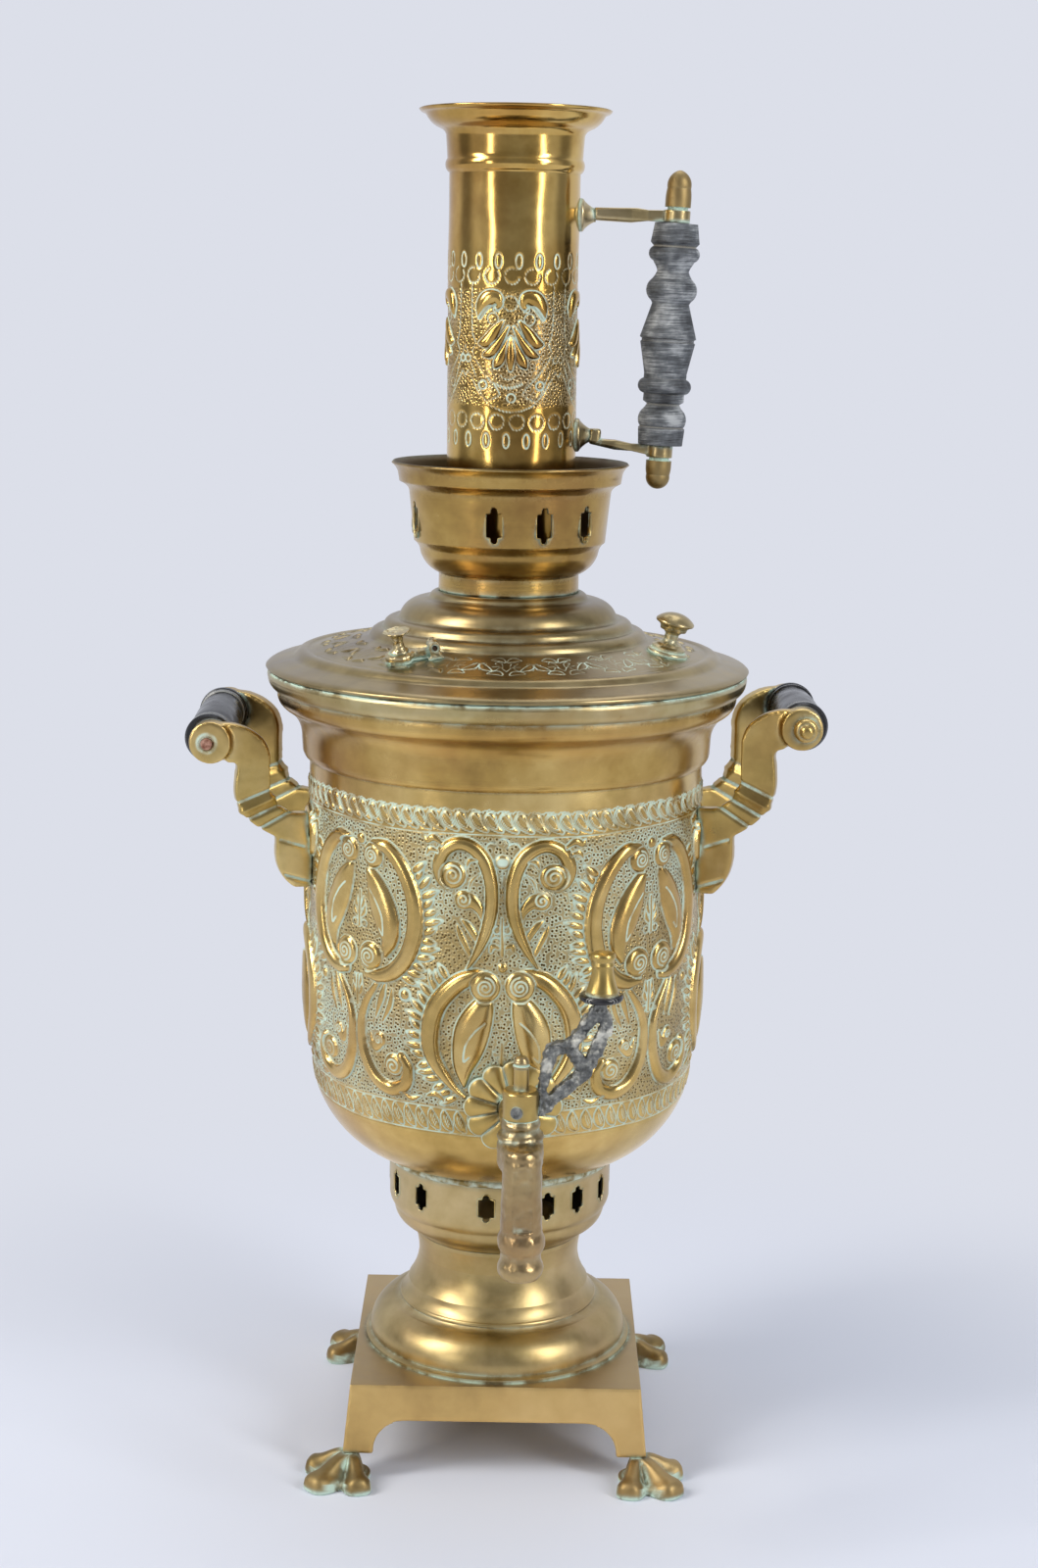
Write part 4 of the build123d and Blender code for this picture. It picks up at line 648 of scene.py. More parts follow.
# ---------------------------------------------------------------- shells turned about the upright axis
def section(outline, spacing):
    """Points (r, z) along an outline of (r, z) or (r, z, bulge); a bulge bows its run outwards by so much."""
    points = [outline[0][:2]]
    for start, end in zip(outline, outline[1:]):
        a, b = np.array(start[:2], float), np.array(end[:2], float)
        chord = np.linalg.norm(b - a)
        bulge = end[2] if len(end) > 2 else 0.0
        gap = spacing((a[1] + b[1]) / 2)
        count = max(2 if not bulge else 4, math.ceil(chord / gap))
        across = np.array([b[1] - a[1], a[0] - b[0]]) / chord
        for t in np.linspace(0, 1, count + 1)[1:]:
            points.append(tuple(a + (b - a) * t + across * bulge * 4 * t * (1 - t)))
    return np.array(points)


def outward_normals(points):
    along = np.gradient(points, axis=0)
    along /= np.linalg.norm(along, axis=1)[:, None]
    return np.stack([along[:, 1], -along[:, 0]], axis=1)


def closed_grid(name, node, material, grids, replaces=True):
    """One piece from grids of points, in millimetres, that close on themselves both ways.

    Each grid is (points, marks), and marks may give each point its groove, its ground and its soot.
    """
    points, faces, values = [], [], {"groove": [], "ground": [], "soot": []}
    start = 0
    for rows, marks in grids:
        index = start + np.arange(rows.shape[0] * rows.shape[1]).reshape(rows.shape[:2])
        above, beside = np.roll(index, -1, axis=0), np.roll(index, -1, axis=1)
        corner = np.roll(above, -1, axis=1)
        faces += np.stack([index, beside, corner, above], axis=2).reshape(-1, 4).tolist()
        points.append(rows.reshape(-1, 3))
        for label, mark in values.items():
            mark.append(np.broadcast_to(marks.get(label, 0.0), rows.shape[:2]).ravel())
        start += len(points[-1])
    mesh = bpy.data.meshes.new(name)
    mesh.from_pydata(np.concatenate(points) * MM, [], faces)
    for label, mark in values.items():
        mesh.attributes.new(label, "FLOAT", "POINT").data.foreach_set(
            "value", np.concatenate(mark).astype(np.float32))
    return new_piece(name, mesh, node, material, replaces)


def new_piece(name, mesh, node, material, replaces=True):
    """A smooth-shaded piece that rides with its node, and stands for it unless it only adds to it."""
    mesh.polygons.foreach_set("use_smooth", np.ones(len(mesh.polygons), bool))
    mesh.materials.clear()
    mesh.materials.append(material)
    piece = bpy.data.objects.new(name, mesh)
    bpy.context.scene.collection.objects.link(piece)
    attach(piece, BODY_OF[node])
    if replaces:
        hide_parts(node)
    return piece


def turned_shell(name, node, material, outline, relief, wall, columns, spacing, soot=0.0):
    """A closed sheet-metal shell: outline turned about the axis, its outer face displaced by relief.

    The outline starts at the node's foot. relief takes arrays of azimuth, radius and height and gives
    displacement, groove and ground. wall is the sheet's thickness, columns how many faces go round, and
    spacing how tall they are at a height. soot is how black the inner face is.
    """
    outer = section(outline, spacing)
    normals = outward_normals(outer)
    inner = (outer - normals * wall)[::-4]
    azimuth = np.linspace(0, math.tau, columns, endpoint=False)
    rows_r, rows_z = np.concatenate([outer, inner]).T
    away, groove, ground = (np.zeros((len(rows_r), columns)) for _ in range(3))
    count = len(outer)
    a, r = np.meshgrid(azimuth, outer[:, 0])
    z = np.broadcast_to(outer[:, 1][:, None], a.shape)
    away[:count], groove[:count], ground[:count] = relief(a, r, z)
    normal_r, normal_z = np.zeros(len(rows_r)), np.zeros(len(rows_r))
    normal_r[:count], normal_z[:count] = normals.T
    radius = rows_r[:, None] + away * normal_r[:, None]
    height = rows_z[:, None] + away * normal_z[:, None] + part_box(node)[0].z / MM
    points = np.stack([radius * np.sin(azimuth), AXIS_Y / MM - radius * np.cos(azimuth), height], axis=2)
    inside = (np.arange(len(rows_r)) >= count).astype(float)[:, None]
    marks = {"groove": groove, "ground": ground, "soot": soot * inside}
    return closed_grid(name, node, material, [(points, marks)])


# Outlines are (radius, height above the node's foot), with the bulge of the run that ends there.
TANK_OUTLINE = [(50, 0), (58.4, 0), (92.4, 34, 5.4), (97.8, 86, 1.35), (96.3, 200), (96.3, 211)]
BED_R, BED_FADE = 19, 4        # the metal that was flattened for the tap's rosette, millimetres


def add_tank(material):
    sheet = chase_tank()

    def relief(azimuth, radius, height):
        # The chaser's hand wandered by a millimetre or so, sideways and up.
        sway = 0.9 * np.sin(3 * azimuth + 1.0) + 0.6 * np.sin(5 * azimuth + height * 0.05)
        lift = 0.5 * np.sin(2 * azimuth + 0.4) + 0.4 * np.sin(7 * azimuth + height * 0.03)
        u = (azimuth * TANK_R + sway - 1.0 + MOTIF_PITCH) % (2 * MOTIF_PITCH) - MOTIF_PITCH
        v = height + lift * (height > CHASED_LOW)
        shown = ((v > CHASED_LOW + 1) & (v < CHASED_HIGH - 1)).astype(float)
        groove = sheet.read(sheet.groove, u, v) * shown
        raised = sheet.read(sheet.height, u, v) * shown
        smooth = sheet.read(sheet.smooth, u, v)
        from_tap = np.remainder(azimuth - math.radians(TAP_AZIMUTH) + math.pi, math.tau) - math.pi
        bed = np.clip((np.hypot(from_tap * TANK_R, height - TAP_LEVEL) - BED_R) / BED_FADE, 0, 1)
        raised, groove = raised * bed, groove * bed
        field = np.clip((v - FIELD_LOW - 0.4) / 0.8, 0, 1) * np.clip((FIELD_HIGH - 0.4 - v) / 0.8, 0, 1) * bed
        strength = 1 + 0.12 * np.sin(2 * azimuth + 1.7)
        dents = 0.10 * np.sin(9 * azimuth + height * 0.11) * np.sin(height * 0.07 + 4 * azimuth)
        away = raised * strength - 0.30 * groove - 0.25 * field * (1 - smooth) + dents * field
        return away, groove, field * (1 - smooth)

    turned_shell("chased_tank_wall", "tank_shell", material, TANK_OUTLINE, relief, wall=1.2, columns=1020,
                 spacing=lambda z: 0.62 if CHASED_LOW + 3 < z < CHASED_HIGH - 1 else 3.0)


# ---------------------------------------------------------------- chimney, lid and air holes
CHIMNEY_R = 31.0
CHIMNEY_TILE = math.tau * CHIMNEY_R / 4
CHIMNEY_LOW, CHIMNEY_HIGH = 55.0, 160.0     # the strip of the pipe that is chased
CHIMNEY_OUTLINE = [(31, 0), (31, 187.8), (32.9, 191.2, 0.5), (32, 194.4, 0.3), (32.3, 199.8), (32.7, 205.3),
                   (35.5, 208.2, -0.5), (42.1, 214.2, 0.9), (44.1, 215.3, -0.2), (45.4, 216.8, 0.2)]


def chase_chimney():
    """A quarter of the chimney's ornament: a palmette in a beaded cartouche, between two borders."""
    half_tile = CHIMNEY_TILE / 2
    sheet = Sheet(-half_tile - 1, half_tile + 1, CHIMNEY_LOW, CHIMNEY_HIGH, step=0.25)
    step = CHIMNEY_TILE / 5
    for k in range(-4, 5):
        sheet.ring(2.8 + step * k, 147.5, 1.6, 0.4, squash=2.1)
        sheet.ring(step * k - 0.4, 140.6, 3.5, 0.6, 60 + 25 * (k % 3), 285, beads=1.6)
        sheet.ring(2.8 + step * k, 73.6, 3.5, 0.6, 100, 345, beads=1.6)
        sheet.ring(step * k - 2.2, 65, 1.5, 0.4, squash=2.2)
    # Raised leaves of the palmette, each with a chased edge.
    leaves = [
        [(4.2, 120, 0.6), (7.6, 115.6, 2.1), (11.4, 110.6, 2.7), (15.2, 109.6, 0.8)],
        [(1.4, 117.6, 0.5), (5.6, 110.4, 1.6), (9.6, 105.6, 2.1), (13, 104.2, 0.7)],
        [(1.2, 112, 0.5), (3.4, 106.4, 1.6), (5.6, 101.8, 2.2), (7.2, 99.2, 0.8)],
        [(15.6, 121.6, 0.8), (14.4, 126.6, 2.9), (11.4, 130.2, 3.6), (7, 131, 2.6), (5.6, 127.6, 1.3),
         (7.6, 125.6, 0.8)],
    ]
    for leaf in leaves:
        for side in (-1, 1):
            sheet.band(mirrored(leaf, side, -0.6), 2.6, 0.4)
    sheet.band([(-0.6, 113, 0.5), (-0.6, 105, 1.9), (-0.6, 98.4, 1.0)], 2.4, 0.4)
    for side in (-1, 1):
        sheet.line(mirrored([(16, 121), (11.6, 126.4), (8.4, 126.8), (6, 124.4)], side, -0.6), 0.45)
        sheet.ring(side * 8.8 - 0.6, 121.2, 2.6, 0.3)
    sheet.ring(-1.1, 128.4, 3.4, 0.6, beads=1.4)
    sheet.line([(-8.1, 91.4), (-5, 90.2), (-1.6, 89.6), (1.8, 90.2), (4.9, 91.4)], 1.0, beads=1.5)
    sheet.line([(-5.2, 95.5), (-3.6, 93.9), (-1.6, 93.5), (0.4, 94), (2, 95.5)], 0.55, beads=1.3)
    cartouche_edge = [(20.6, 136.4), (20.2, 116), (18.4, 109.6), (19.8, 104.5), (13.4, 95.8), (5.6, 87),
                      (11.6, 82.7), (5.2, 79.2), (0, 78.4)]
    for side in (-1, 1):
        sheet.line(mirrored(cartouche_edge, side, 0), 0.6, beads=1.5)
        sheet.line([(side * 22.6, 96.5), (side * 18.6, 91), (side * 15.2, 86.2), (side * 12, 83)], 0.6,
                   beads=1.5)
        sheet.line([(side * 22.6, 96.5), (side * 24.8, 93.4)], 0.6, beads=1.5)
        sheet.line([(side * 24.8, 109), (side * 20, 99), (side * 13.6, 84.4)], 0.5, beads=1.5)
        sheet.ring(side * 22.6, 102.4, 1.6, 0.42)
        sheet.ring(side * 14, 90.6, 2.0, 0.42)
    sheet.ring(-0.1, 85, 2.0, 0.42)
    return sheet


def add_chimney(material):
    sheet = chase_chimney()

    def relief(azimuth, radius, height):
        u = (azimuth * CHIMNEY_R + CHIMNEY_TILE / 2) % CHIMNEY_TILE - CHIMNEY_TILE / 2
        v = height + 0.6 * np.sin(2 * azimuth + 1.2)
        shown = ((v > CHIMNEY_LOW + 2) & (v < CHIMNEY_HIGH - 2)).astype(float)
        groove = sheet.read(sheet.groove, u, v) * shown
        raised = sheet.read(sheet.height, u, v) * shown
        smooth = sheet.read(sheet.smooth, u, v)
        field = np.clip((v - 80) / 3, 0, 1) * np.clip((135 - v) / 3, 0, 1) * (1 - smooth)
        # The pipe was rolled and hammered by hand, so its wall wanders a little.
        wander = 0.16 * np.sin(3 * azimuth + height * 0.045) + 0.10 * np.sin(5 * azimuth - height * 0.11)
        wander *= np.clip(height / 20, 0, 1) * np.clip((185 - height) / 20, 0, 1)
        return raised - 0.3 * groove - 0.1 * field + wander, groove, field * 0.7

    turned_shell("chased_chimney_pipe", "chimney_pipe", material, CHIMNEY_OUTLINE, relief, wall=1.0,
                 columns=480, spacing=lambda z: 0.5 if CHIMNEY_LOW < z < CHIMNEY_HIGH else 2.0, soot=0.9)


LID_BAND_OUT, LID_BAND_IN = 95.8, 68.5      # radii of the engraved band
LID_BAND_R, LID_TILES = 82, 10              # where its pattern is laid out, and how often it repeats
LID_TILE = math.tau * LID_BAND_R / LID_TILES
LID_OUTLINE = [(115.6, 0), (117.6, 1.5, 0.4), (114.4, 3.5, 0.3), (105.6, 5.8), (103, 7.2, -0.3),
               (97.4, 9.6, 1.1), (95.8, 9.2, -0.2), (68.5, 15.7), (67.3, 17.1, -0.3), (62.2, 20.6, 1.0),
               (60.7, 21.1, -0.2), (55.8, 25.2, 1.3), (53.2, 25.6, -0.2), (42.6, 34.6, 2.2),
               (38.6, 35.3, -0.2), (35.4, 38.2, 0.6), (30.0, 38.2)]
LID_PETAL = ((0.8, 0), (2.2, 1.2), (3.4, 1.1), (4.4, 0))


def chase_lid():
    """A tenth of the lid's band: a four-petalled flower between two leaf sprays, in fine lines."""
    sheet = Sheet(-LID_TILE / 2 - 1, LID_TILE / 2 + 1, low=0.0, high=28.0, step=0.2)
    for centre in (-LID_TILE / 4, LID_TILE / 4):
        for k in range(4):
            turn = math.radians(45 + 90 * k)
            along = np.array([math.cos(turn), math.sin(turn)])
            across = np.array([-math.sin(turn), math.cos(turn)])
            for hand in (-1, 1):
                petal = [along * a + across * hand * b for a, b in LID_PETAL]
                sheet.line([(centre + q[0], 14 + q[1] * 1.3) for q in petal], 0.2)
        sheet.ring(centre, 14, 0.5, 0.22)
    strokes = [[(0, 9), (3, 14), (6.6, 14.4)], [(1.6, 12), (2.2, 17.6), (4.4, 20)],
               [(3.2, 13.6), (4.8, 10.2), (7.2, 9)], [(4.4, 20), (5.4, 17.6), (3.4, 15.4)]]
    leaves = [([(2, 5, 0.4), (4.4, 7.4, 1.8), (7.4, 6.4, 0.4)], 1.6),
              ([(1, 20, 0.4), (3.6, 22.6, 1.7), (7, 22, 0.4)], 1.6),
              ([(7, 10, 0.4), (10, 13, 1.7), (12, 17, 0.4)], 1.4)]
    for at in (-LID_TILE / 2, 0, LID_TILE / 2):
        for side in (-1, 1):
            for stroke in strokes:
                sheet.line(mirrored(stroke, side, at), 0.2)
            for leaf, rise in leaves:
                sheet.band(mirrored(leaf, side, at), rise, 0.3)
    return sheet


def add_lid(material):
    sheet = chase_lid()

    def relief(azimuth, radius, height):
        u = (azimuth * LID_BAND_R + LID_TILE / 2) % LID_TILE - LID_TILE / 2
        v = LID_BAND_OUT - radius
        shown = ((v > 2) & (radius > LID_BAND_IN + 1)).astype(float)
        # The front of the band is engraved finely; round the sides and the back the leaves are embossed.
        front = np.clip((np.cos(azimuth - 0.35) - 0.70) / 0.15, 0, 1)
        raised = sheet.read(sheet.height, u, v) * shown * (1 - 0.85 * front)
        groove = sheet.read(sheet.groove, u, v) * shown
        wander = 0.12 * np.sin(7 * azimuth + radius * 0.2) * shown
        return raised - 0.15 * groove + wander, groove * (0.35 + 0.65 * front), np.zeros_like(u)

    turned_shell("engraved_lid", "lid", material, LID_OUTLINE, relief, wall=0.8, columns=1500,
                 spacing=lambda z: 0.5 if 9 < z < 16 else 1.5)


# A quarter of an air hole, from its side to its top, in halves of its width and height.
AIR_HOLE = [(1.0, 0.0), (1.0, 0.63), (0.54, 0.66), (0.45, 0.72), (0.43, 0.86), (0.30, 0.96), (0.12, 1.0)]
HOLES = {        # radius, level above the node's foot, width and height, azimuths
    "crown_bowl": (47.5, 35.0, 7.6, 17.0,
                   [-8.6 + 120 * group + 29 * i for group in range(3) for i in range(3)]),
    "draught_ring": (55.6, 28.6, 7.8, 14.0,
                     (-67.5, -43.7, -6.2, 25.5, 44.4, 66.2, 94, 122, 150, 178, 208, 238, 266)),
}
PUNCH_IN, PUNCH_OUT = 8, 6      # how far the cutter reaches either side of the hole's radius
PIERCED = {      # outlines
    "crown_bowl": [(34, 0), (34, 8.6), (42.8, 17.6, 1.4), (43.5, 20.7), (46.2, 24, -0.3), (48.6, 47),
                   (49.4, 49.6, -0.2), (53.4, 52.4, -0.3), (54.1, 56.8), (57.2, 61.1, -0.4)],
    "draught_ring": [(38.4, 0), (41.8, 0), (44.4, 4, -0.3), (53.4, 14, 2.6), (55.6, 19, 0.4), (55.6, 40)],
}


def air_hole(width, height):
    quarter = [(width / 2 * u, height / 2 * v) for u, v in AIR_HOLE]
    upper = quarter + [(-u, v) for u, v in reversed(quarter)]
    return upper + [(-u, -v) for u, v in upper[1:-1]]


def add_pierced(node, material):
    """A spun shell whose row of air holes was punched through from outside."""
    def relief(azimuth, radius, height):
        wander = 0.05 * np.sin(3 * azimuth + height * 0.1) + 0.04 * np.sin(8 * azimuth - height * 0.2)
        return wander, np.zeros_like(azimuth), np.zeros_like(azimuth)

    shell = turned_shell("pierced_" + node, node, material, PIERCED[node], relief, wall=1.2, columns=320,
                         spacing=lambda z: 1.0, soot=0.85)
    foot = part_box(node)[0].z
    radius, level, width, height, azimuths = HOLES[node]
    outline, points, faces = air_hole(width, height), [], []
    for azimuth in azimuths:
        start, count, turn = len(points), len(outline), math.radians(azimuth)
        points += [((r * math.sin(turn) + u * math.cos(turn)) * MM,
                    AXIS_Y - (r * math.cos(turn) - u * math.sin(turn)) * MM, foot + (level + v) * MM)
                   for r in (radius - PUNCH_IN, radius + PUNCH_OUT) for u, v in outline]
        faces += [[start + k for k in reversed(range(count))], [start + count + k for k in range(count)]]
        faces += [[start + k, start + (k + 1) % count, start + count + (k + 1) % count, start + count + k]
                  for k in range(count)]
    mesh = bpy.data.meshes.new("punches")
    mesh.from_pydata(points, [], faces)
    for each in (mesh, shell.data):
        outwards = bmesh.new()
        outwards.from_mesh(each)
        bmesh.ops.recalc_face_normals(outwards, faces=outwards.faces)
        outwards.to_mesh(each)
        outwards.free()
    punches = bpy.data.objects.new("punches", mesh)
    bpy.context.scene.collection.objects.link(punches)
    cut = shell.modifiers.new("cut", "BOOLEAN")
    cut.operation, cut.solver, cut.object = "DIFFERENCE", "EXACT", punches
    pierced = bpy.data.meshes.new_from_object(shell.evaluated_get(bpy.context.evaluated_depsgraph_get()))
    shell.modifiers.clear()
    shell.data = pierced
    pierced.polygons.foreach_set("use_smooth", np.ones(len(pierced.polygons), bool))
    bpy.data.objects.remove(punches)


def add_hole_lips(node, material):
    """The burr that the punch raised round each air hole, filed to a bright narrow lip."""
    lip, proud, depth = 0.5, 0.25, 1.3
    radius, level, width, height, azimuths = HOLES[node]
    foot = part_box(node)[0].z / MM
    outline = np.array(air_hole(width, height))
    along = np.roll(outline, -1, axis=0) - np.roll(outline, 1, axis=0)
    along /= np.linalg.norm(along, axis=1)[:, None]
    outward = np.stack([along[:, 1], -along[:, 0]], axis=1)
    grids = []
    for azimuth in azimuths:
        rows = []
        for spread, lift in ((0.02, -depth), (lip, -depth * 0.4), (lip * 0.8, proud), (0.02, proud)):
            u, v = (outline + outward * spread).T
            angle = math.radians(azimuth) + u / radius
            rows.append(np.stack([(radius + lift) * np.sin(angle),
                                  AXIS_Y / MM - (radius + lift) * np.cos(angle), foot + level + v], axis=1))
        grids.append((np.array(rows), {}))
    closed_grid("hole_lips_" + node, node, material, grids, replaces=False)


# ---------------------------------------------------------------- tap rosette and paws
RIM_FROM, RIM_OVER = 0.8, 0.2         # the rounded rim of a casting, in shares of its reach


def rounded_rim(share):
    """How much of its height a casting keeps: all of it inside, then down to none on a quarter circle."""
    return np.sqrt(1 - np.clip((share - RIM_FROM) / RIM_OVER, 0, 1) ** 2)


def add_rosette(material):
    """A cast rosette of twelve domed petals, laid on the tank's curve round the tap."""
    petals, outer_r, inner_r, petal_r = 12, 23.4, 7.3, 6.0
    tap_z = TANK_Z / MM + TAP_LEVEL
    rho_share = np.concatenate([np.linspace(0, 0.8, 18), np.linspace(0.84, 1, 9)])[:, None]
    theta = np.linspace(0, math.tau, 20 * petals, endpoint=False)
    pitch = math.tau / petals
    swing = (theta + pitch / 2) % pitch - pitch / 2
    reach = outer_r - petal_r
    edge = reach * np.cos(swing) + np.sqrt(petal_r ** 2 - (reach * np.sin(swing)) ** 2)
    rho = inner_r + (edge - inner_r) * rho_share
    x, z = rho * np.cos(theta), rho * np.sin(theta)
    wall = 97.8 - 0.0016 * (TAP_LEVEL + z - 86) ** 2      # the tank's radius behind each point
    skin = np.sqrt(wall ** 2 - x ** 2)
    dome = np.sqrt(np.clip(1 - (swing / (pitch / 2)) ** 2, 0, 1))
    rise = 1.3 + 2.1 * dome * rounded_rim(rho_share) * (0.55 + 0.45 * np.sin(math.pi * rho_share ** 0.7))
    valley = np.clip(1 - dome * 1.5, 0, 1) + 0.9 * np.clip((rho_share - 0.93) / 0.05, 0, 1)
    front, back = skin + rise, (skin - 0.5)[::-3]
    grid_x, grid_z = np.concatenate([x, x[::-3]]), np.concatenate([z, z[::-3]])
    y = -np.concatenate([front, back])
    turn = math.radians(TAP_AZIMUTH)
    points = np.stack([grid_x * math.cos(turn) - y * math.sin(turn),
                       AXIS_Y / MM + grid_x * math.sin(turn) + y * math.cos(turn), grid_z + tap_z], axis=2)
    marks = np.concatenate([np.clip(valley, 0, 1), np.zeros_like(back)])
    closed_grid("petal_rosette", "tap_rosette", material, [(points, {"groove": marks})])


def add_paw(node, azimuth, material):
    """A broad paw with three leaf-like toes, domed along their middles and cleft between them."""
    low, high = (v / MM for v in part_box(node))
    tall, reach, side_reach = high.z - low.z, 27.8, 23.4
    out = Vector((math.cos(math.radians(azimuth)), math.sin(math.radians(azimuth))))
    tip = Vector((high.x if out.x > 0 else low.x, high.y if out.y > 0 else low.y))
    centre = tip - out * reach
    theta = np.radians(np.linspace(-180, 180, 180, endpoint=False))
    share = np.concatenate([[0.02], np.linspace(0.1, 0.8, 14), np.linspace(0.84, 1, 8)])[:, None]
    heel = 9.0 + 3.4 * np.exp(-(theta / 1.5) ** 4)
    edge, ridge = heel.copy(), np.zeros_like(theta)
    for toe, far in ((0, reach), (58, side_reach), (-58, side_reach)):
        off = np.degrees(theta) - toe
        edge += (far - heel) * np.exp(-np.abs(off / 25.5) ** 3.6)
        ridge = np.maximum(ridge, np.exp(-np.abs(off / 22) ** 2.6))
    fall = np.clip((share - 0.25) / 0.6, 0, 1)
    fall = fall * fall * (3 - 2 * fall)
    toe_top = tall - (tall - 8.6) * fall
    cleft_top = tall - (tall - 3.0) * np.clip(fall * 1.25, 0, 1)
    top = cleft_top + (toe_top - cleft_top) * ridge
    top = 2.2 + (top - 2.2) * (0.12 + 0.88 * rounded_rim(share))
    radius = edge * share
    # The foot of the casting draws in under its rim, down to a flat sole.
    under = [(1.0, 0.9), (0.97, 0.0), (0.5, 0.0), (0.02, 0.0)]
    radius = np.concatenate([radius] + [edge[None] * k for k, _ in under])
    height = np.concatenate([top] + [np.full_like(theta, z)[None] for _, z in under])
    x, y = radius * np.cos(theta), radius * np.sin(theta)
    turn = math.radians(azimuth)
    points = np.stack([centre.x + x * math.cos(turn) - y * math.sin(turn),
                       centre.y + x * math.sin(turn) + y * math.cos(turn), low.z + height], axis=2)
    salts = 1.5 * (0.75 - ridge) * np.clip((share - 0.45) / 0.3, 0, 1) + 0.35 * (share > 0.95)
    salts = salts * (np.abs(np.degrees(theta)) < 100)
    marks = np.concatenate([np.clip(salts, 0, 1)] + [np.full_like(theta, 0.5)[None] for _ in under])
    closed_grid("cast_" + node, node, material, [(points, {"groove": marks})])


# ---------------------------------------------------------------- castings worked over by hand
SKIN = 0.0004        # metres that a recast skin may stand outside its node's box


def recast(node, material, voxel, rounds=2, lumps=0.0, lump_size=4.0, carve=None):
    """A rigid piece made again from its node, with softened edges and the unevenness of a casting.

    voxel is the grain of its mesh, and rounds how often that is smoothed. lumps is how far its skin
    wanders, in hollows and swellings of lump_size. carve takes places, and gives how far the skin moves
    out there and where its grooves are. All in millimetres.
    """
    rough = bpy.data.objects.new("rough_" + node, NODES[node].data.copy())
    bpy.context.scene.collection.objects.link(rough)
    remesh = rough.modifiers.new("remesh", "REMESH")
    remesh.mode, remesh.voxel_size, remesh.adaptivity = "VOXEL", voxel * MM, 0.0
    soften = rough.modifiers.new("soften", "SMOOTH")
    soften.factor, soften.iterations = 0.5, rounds
    final = bpy.data.meshes.new_from_object(rough.evaluated_get(bpy.context.evaluated_depsgraph_get()))
    bpy.data.objects.remove(rough)
    count = len(final.vertices)
    places, normals = np.empty(count * 3), np.empty(count * 3)
    final.vertices.foreach_get("co", places)
    final.vertices.foreach_get("normal", normals)
    places, normals = places.reshape(-1, 3), normals.reshape(-1, 3)
    away, groove = np.zeros(count), np.zeros(count)
    if carve:
        away, groove = carve(places / MM)
    if lumps:
        away = away + [lumps * noise.fractal(Vector(p) / (lump_size * MM), 0.7, 2.0, 3) for p in places]
    places += normals * away[:, None] * MM
    low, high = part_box(node)
    places = np.clip(places, np.array(low) - SKIN, np.array(high) + SKIN)
    final.vertices.foreach_set("co", places.ravel())
    final.attributes.new("groove", "FLOAT", "POINT").data.foreach_set("value", groove.astype(np.float32))
    return new_piece("finished_" + node, final, node, material)


# Filed grooves across a bracket's face: start and end as (distance from the axis, height), then depth.
BRACKET_GROOVES = [((109, 58.4), (129.5, 49.0), 0.7), ((106.5, 49.0), (124.6, 39.4), 1.0),
                   ((101, 45.4), (119.6, 33.6), 0.9), ((97, 23.6), (108, 28), 0.5),
                   ((88, 1.2), (106, 7.6), 0.9)]
BRACKET_ROLL = ((108, 53.6), (127, 44.2))       # a raised roll between the grooves
BRACKET_RISES = {"right_front": 84.0, "right_rear": 84.0, "left_front": 73.0, "left_rear": 77.5}
DRAWN_RISE = 84.0                               # the rise that the grooves are drawn for
ROD_X, ROD_SALTS_R = 142.3, 4.4
RODS = {"left": (361.85, 0.0608), "right": (370.6, 0.0)}      # height at the axis, and slope front to back


def away_from(places, start, end):
    """Distance of places from a line between two points, all in one plane."""
    start, run = np.array(start), np.array(end) - np.array(start)
    share = np.clip(((places - start) @ run) / (run @ run), 0, 1)
    return np.linalg.norm(places - start - share[:, None] * run, axis=1)


def add_brackets(material):
    for corner, rise in BRACKET_RISES.items():
        node = "handle_bracket_" + corner
        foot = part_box(node)[0].z / MM
        rod_z, slope = RODS[corner.split("_")[0]]

        def carve(places):
            flat = np.stack([np.abs(places[:, 0]), (places[:, 2] - foot) * DRAWN_RISE / rise], axis=1)
            away, groove = np.zeros(len(flat)), np.zeros(len(flat))
            for start, end, depth in BRACKET_GROOVES:
                cut = np.exp(-(away_from(flat, start, end) / 0.9) ** 2)
                away -= depth * cut
                groove = np.maximum(groove, cut)
            away += 1.1 * np.exp(-(away_from(flat, *BRACKET_ROLL) / 1.9) ** 2)
            # Salts have crept out round the rod's end.
            rod_level = rod_z + slope * (places[:, 1] - AXIS_Y / MM)
            from_rod = np.hypot(np.abs(places[:, 0]) - ROD_X, places[:, 2] - rod_level)
            groove = np.maximum(groove, 0.75 * np.exp(-((from_rod - ROD_SALTS_R) / 1.4) ** 2))
            return away, groove

        recast(node, material, voxel=0.8, rounds=14, lumps=0.12, lump_size=14.0, carve=carve)


# ---------------------------------------------------------------- camera, lights and floor
BACKDROP = "#DCDFE9"
EYE = (0.00665, AXIS_Y - 1.2194, 0.5726)
PITCH, ROLL = 11.15, 0.948            # degrees down, and degrees that the camera leans
LENS, SENSOR = 57.79, 36.0            # millimetres
SHIFT_UP = 0.0025

LIGHTS_AIM = 0.33                     # the height that all lights point at
# Name, azimuth and elevation in degrees, distance, width and height in metres, watts, tint.
LIGHTS = [
    ("key_softbox", -66, 34, 2.2, 0.55, 1.3, 34, "#FFFAF2"),
    ("right_softbox", 52, 30, 2.4, 0.45, 1.3, 24, "#FFFFFF"),
    ("left_strip", -41, 8, 2.2, 0.26, 0.8, 5.5, "#FFFAF2"),
    ("right_strip", 47, 8, 2.2, 0.22, 0.8, 5.0, "#FFFAF2"),
    ("top_softbox", 170, 70, 2.2, 1.4, 1.4, 14, "#F4F7FF"),
]


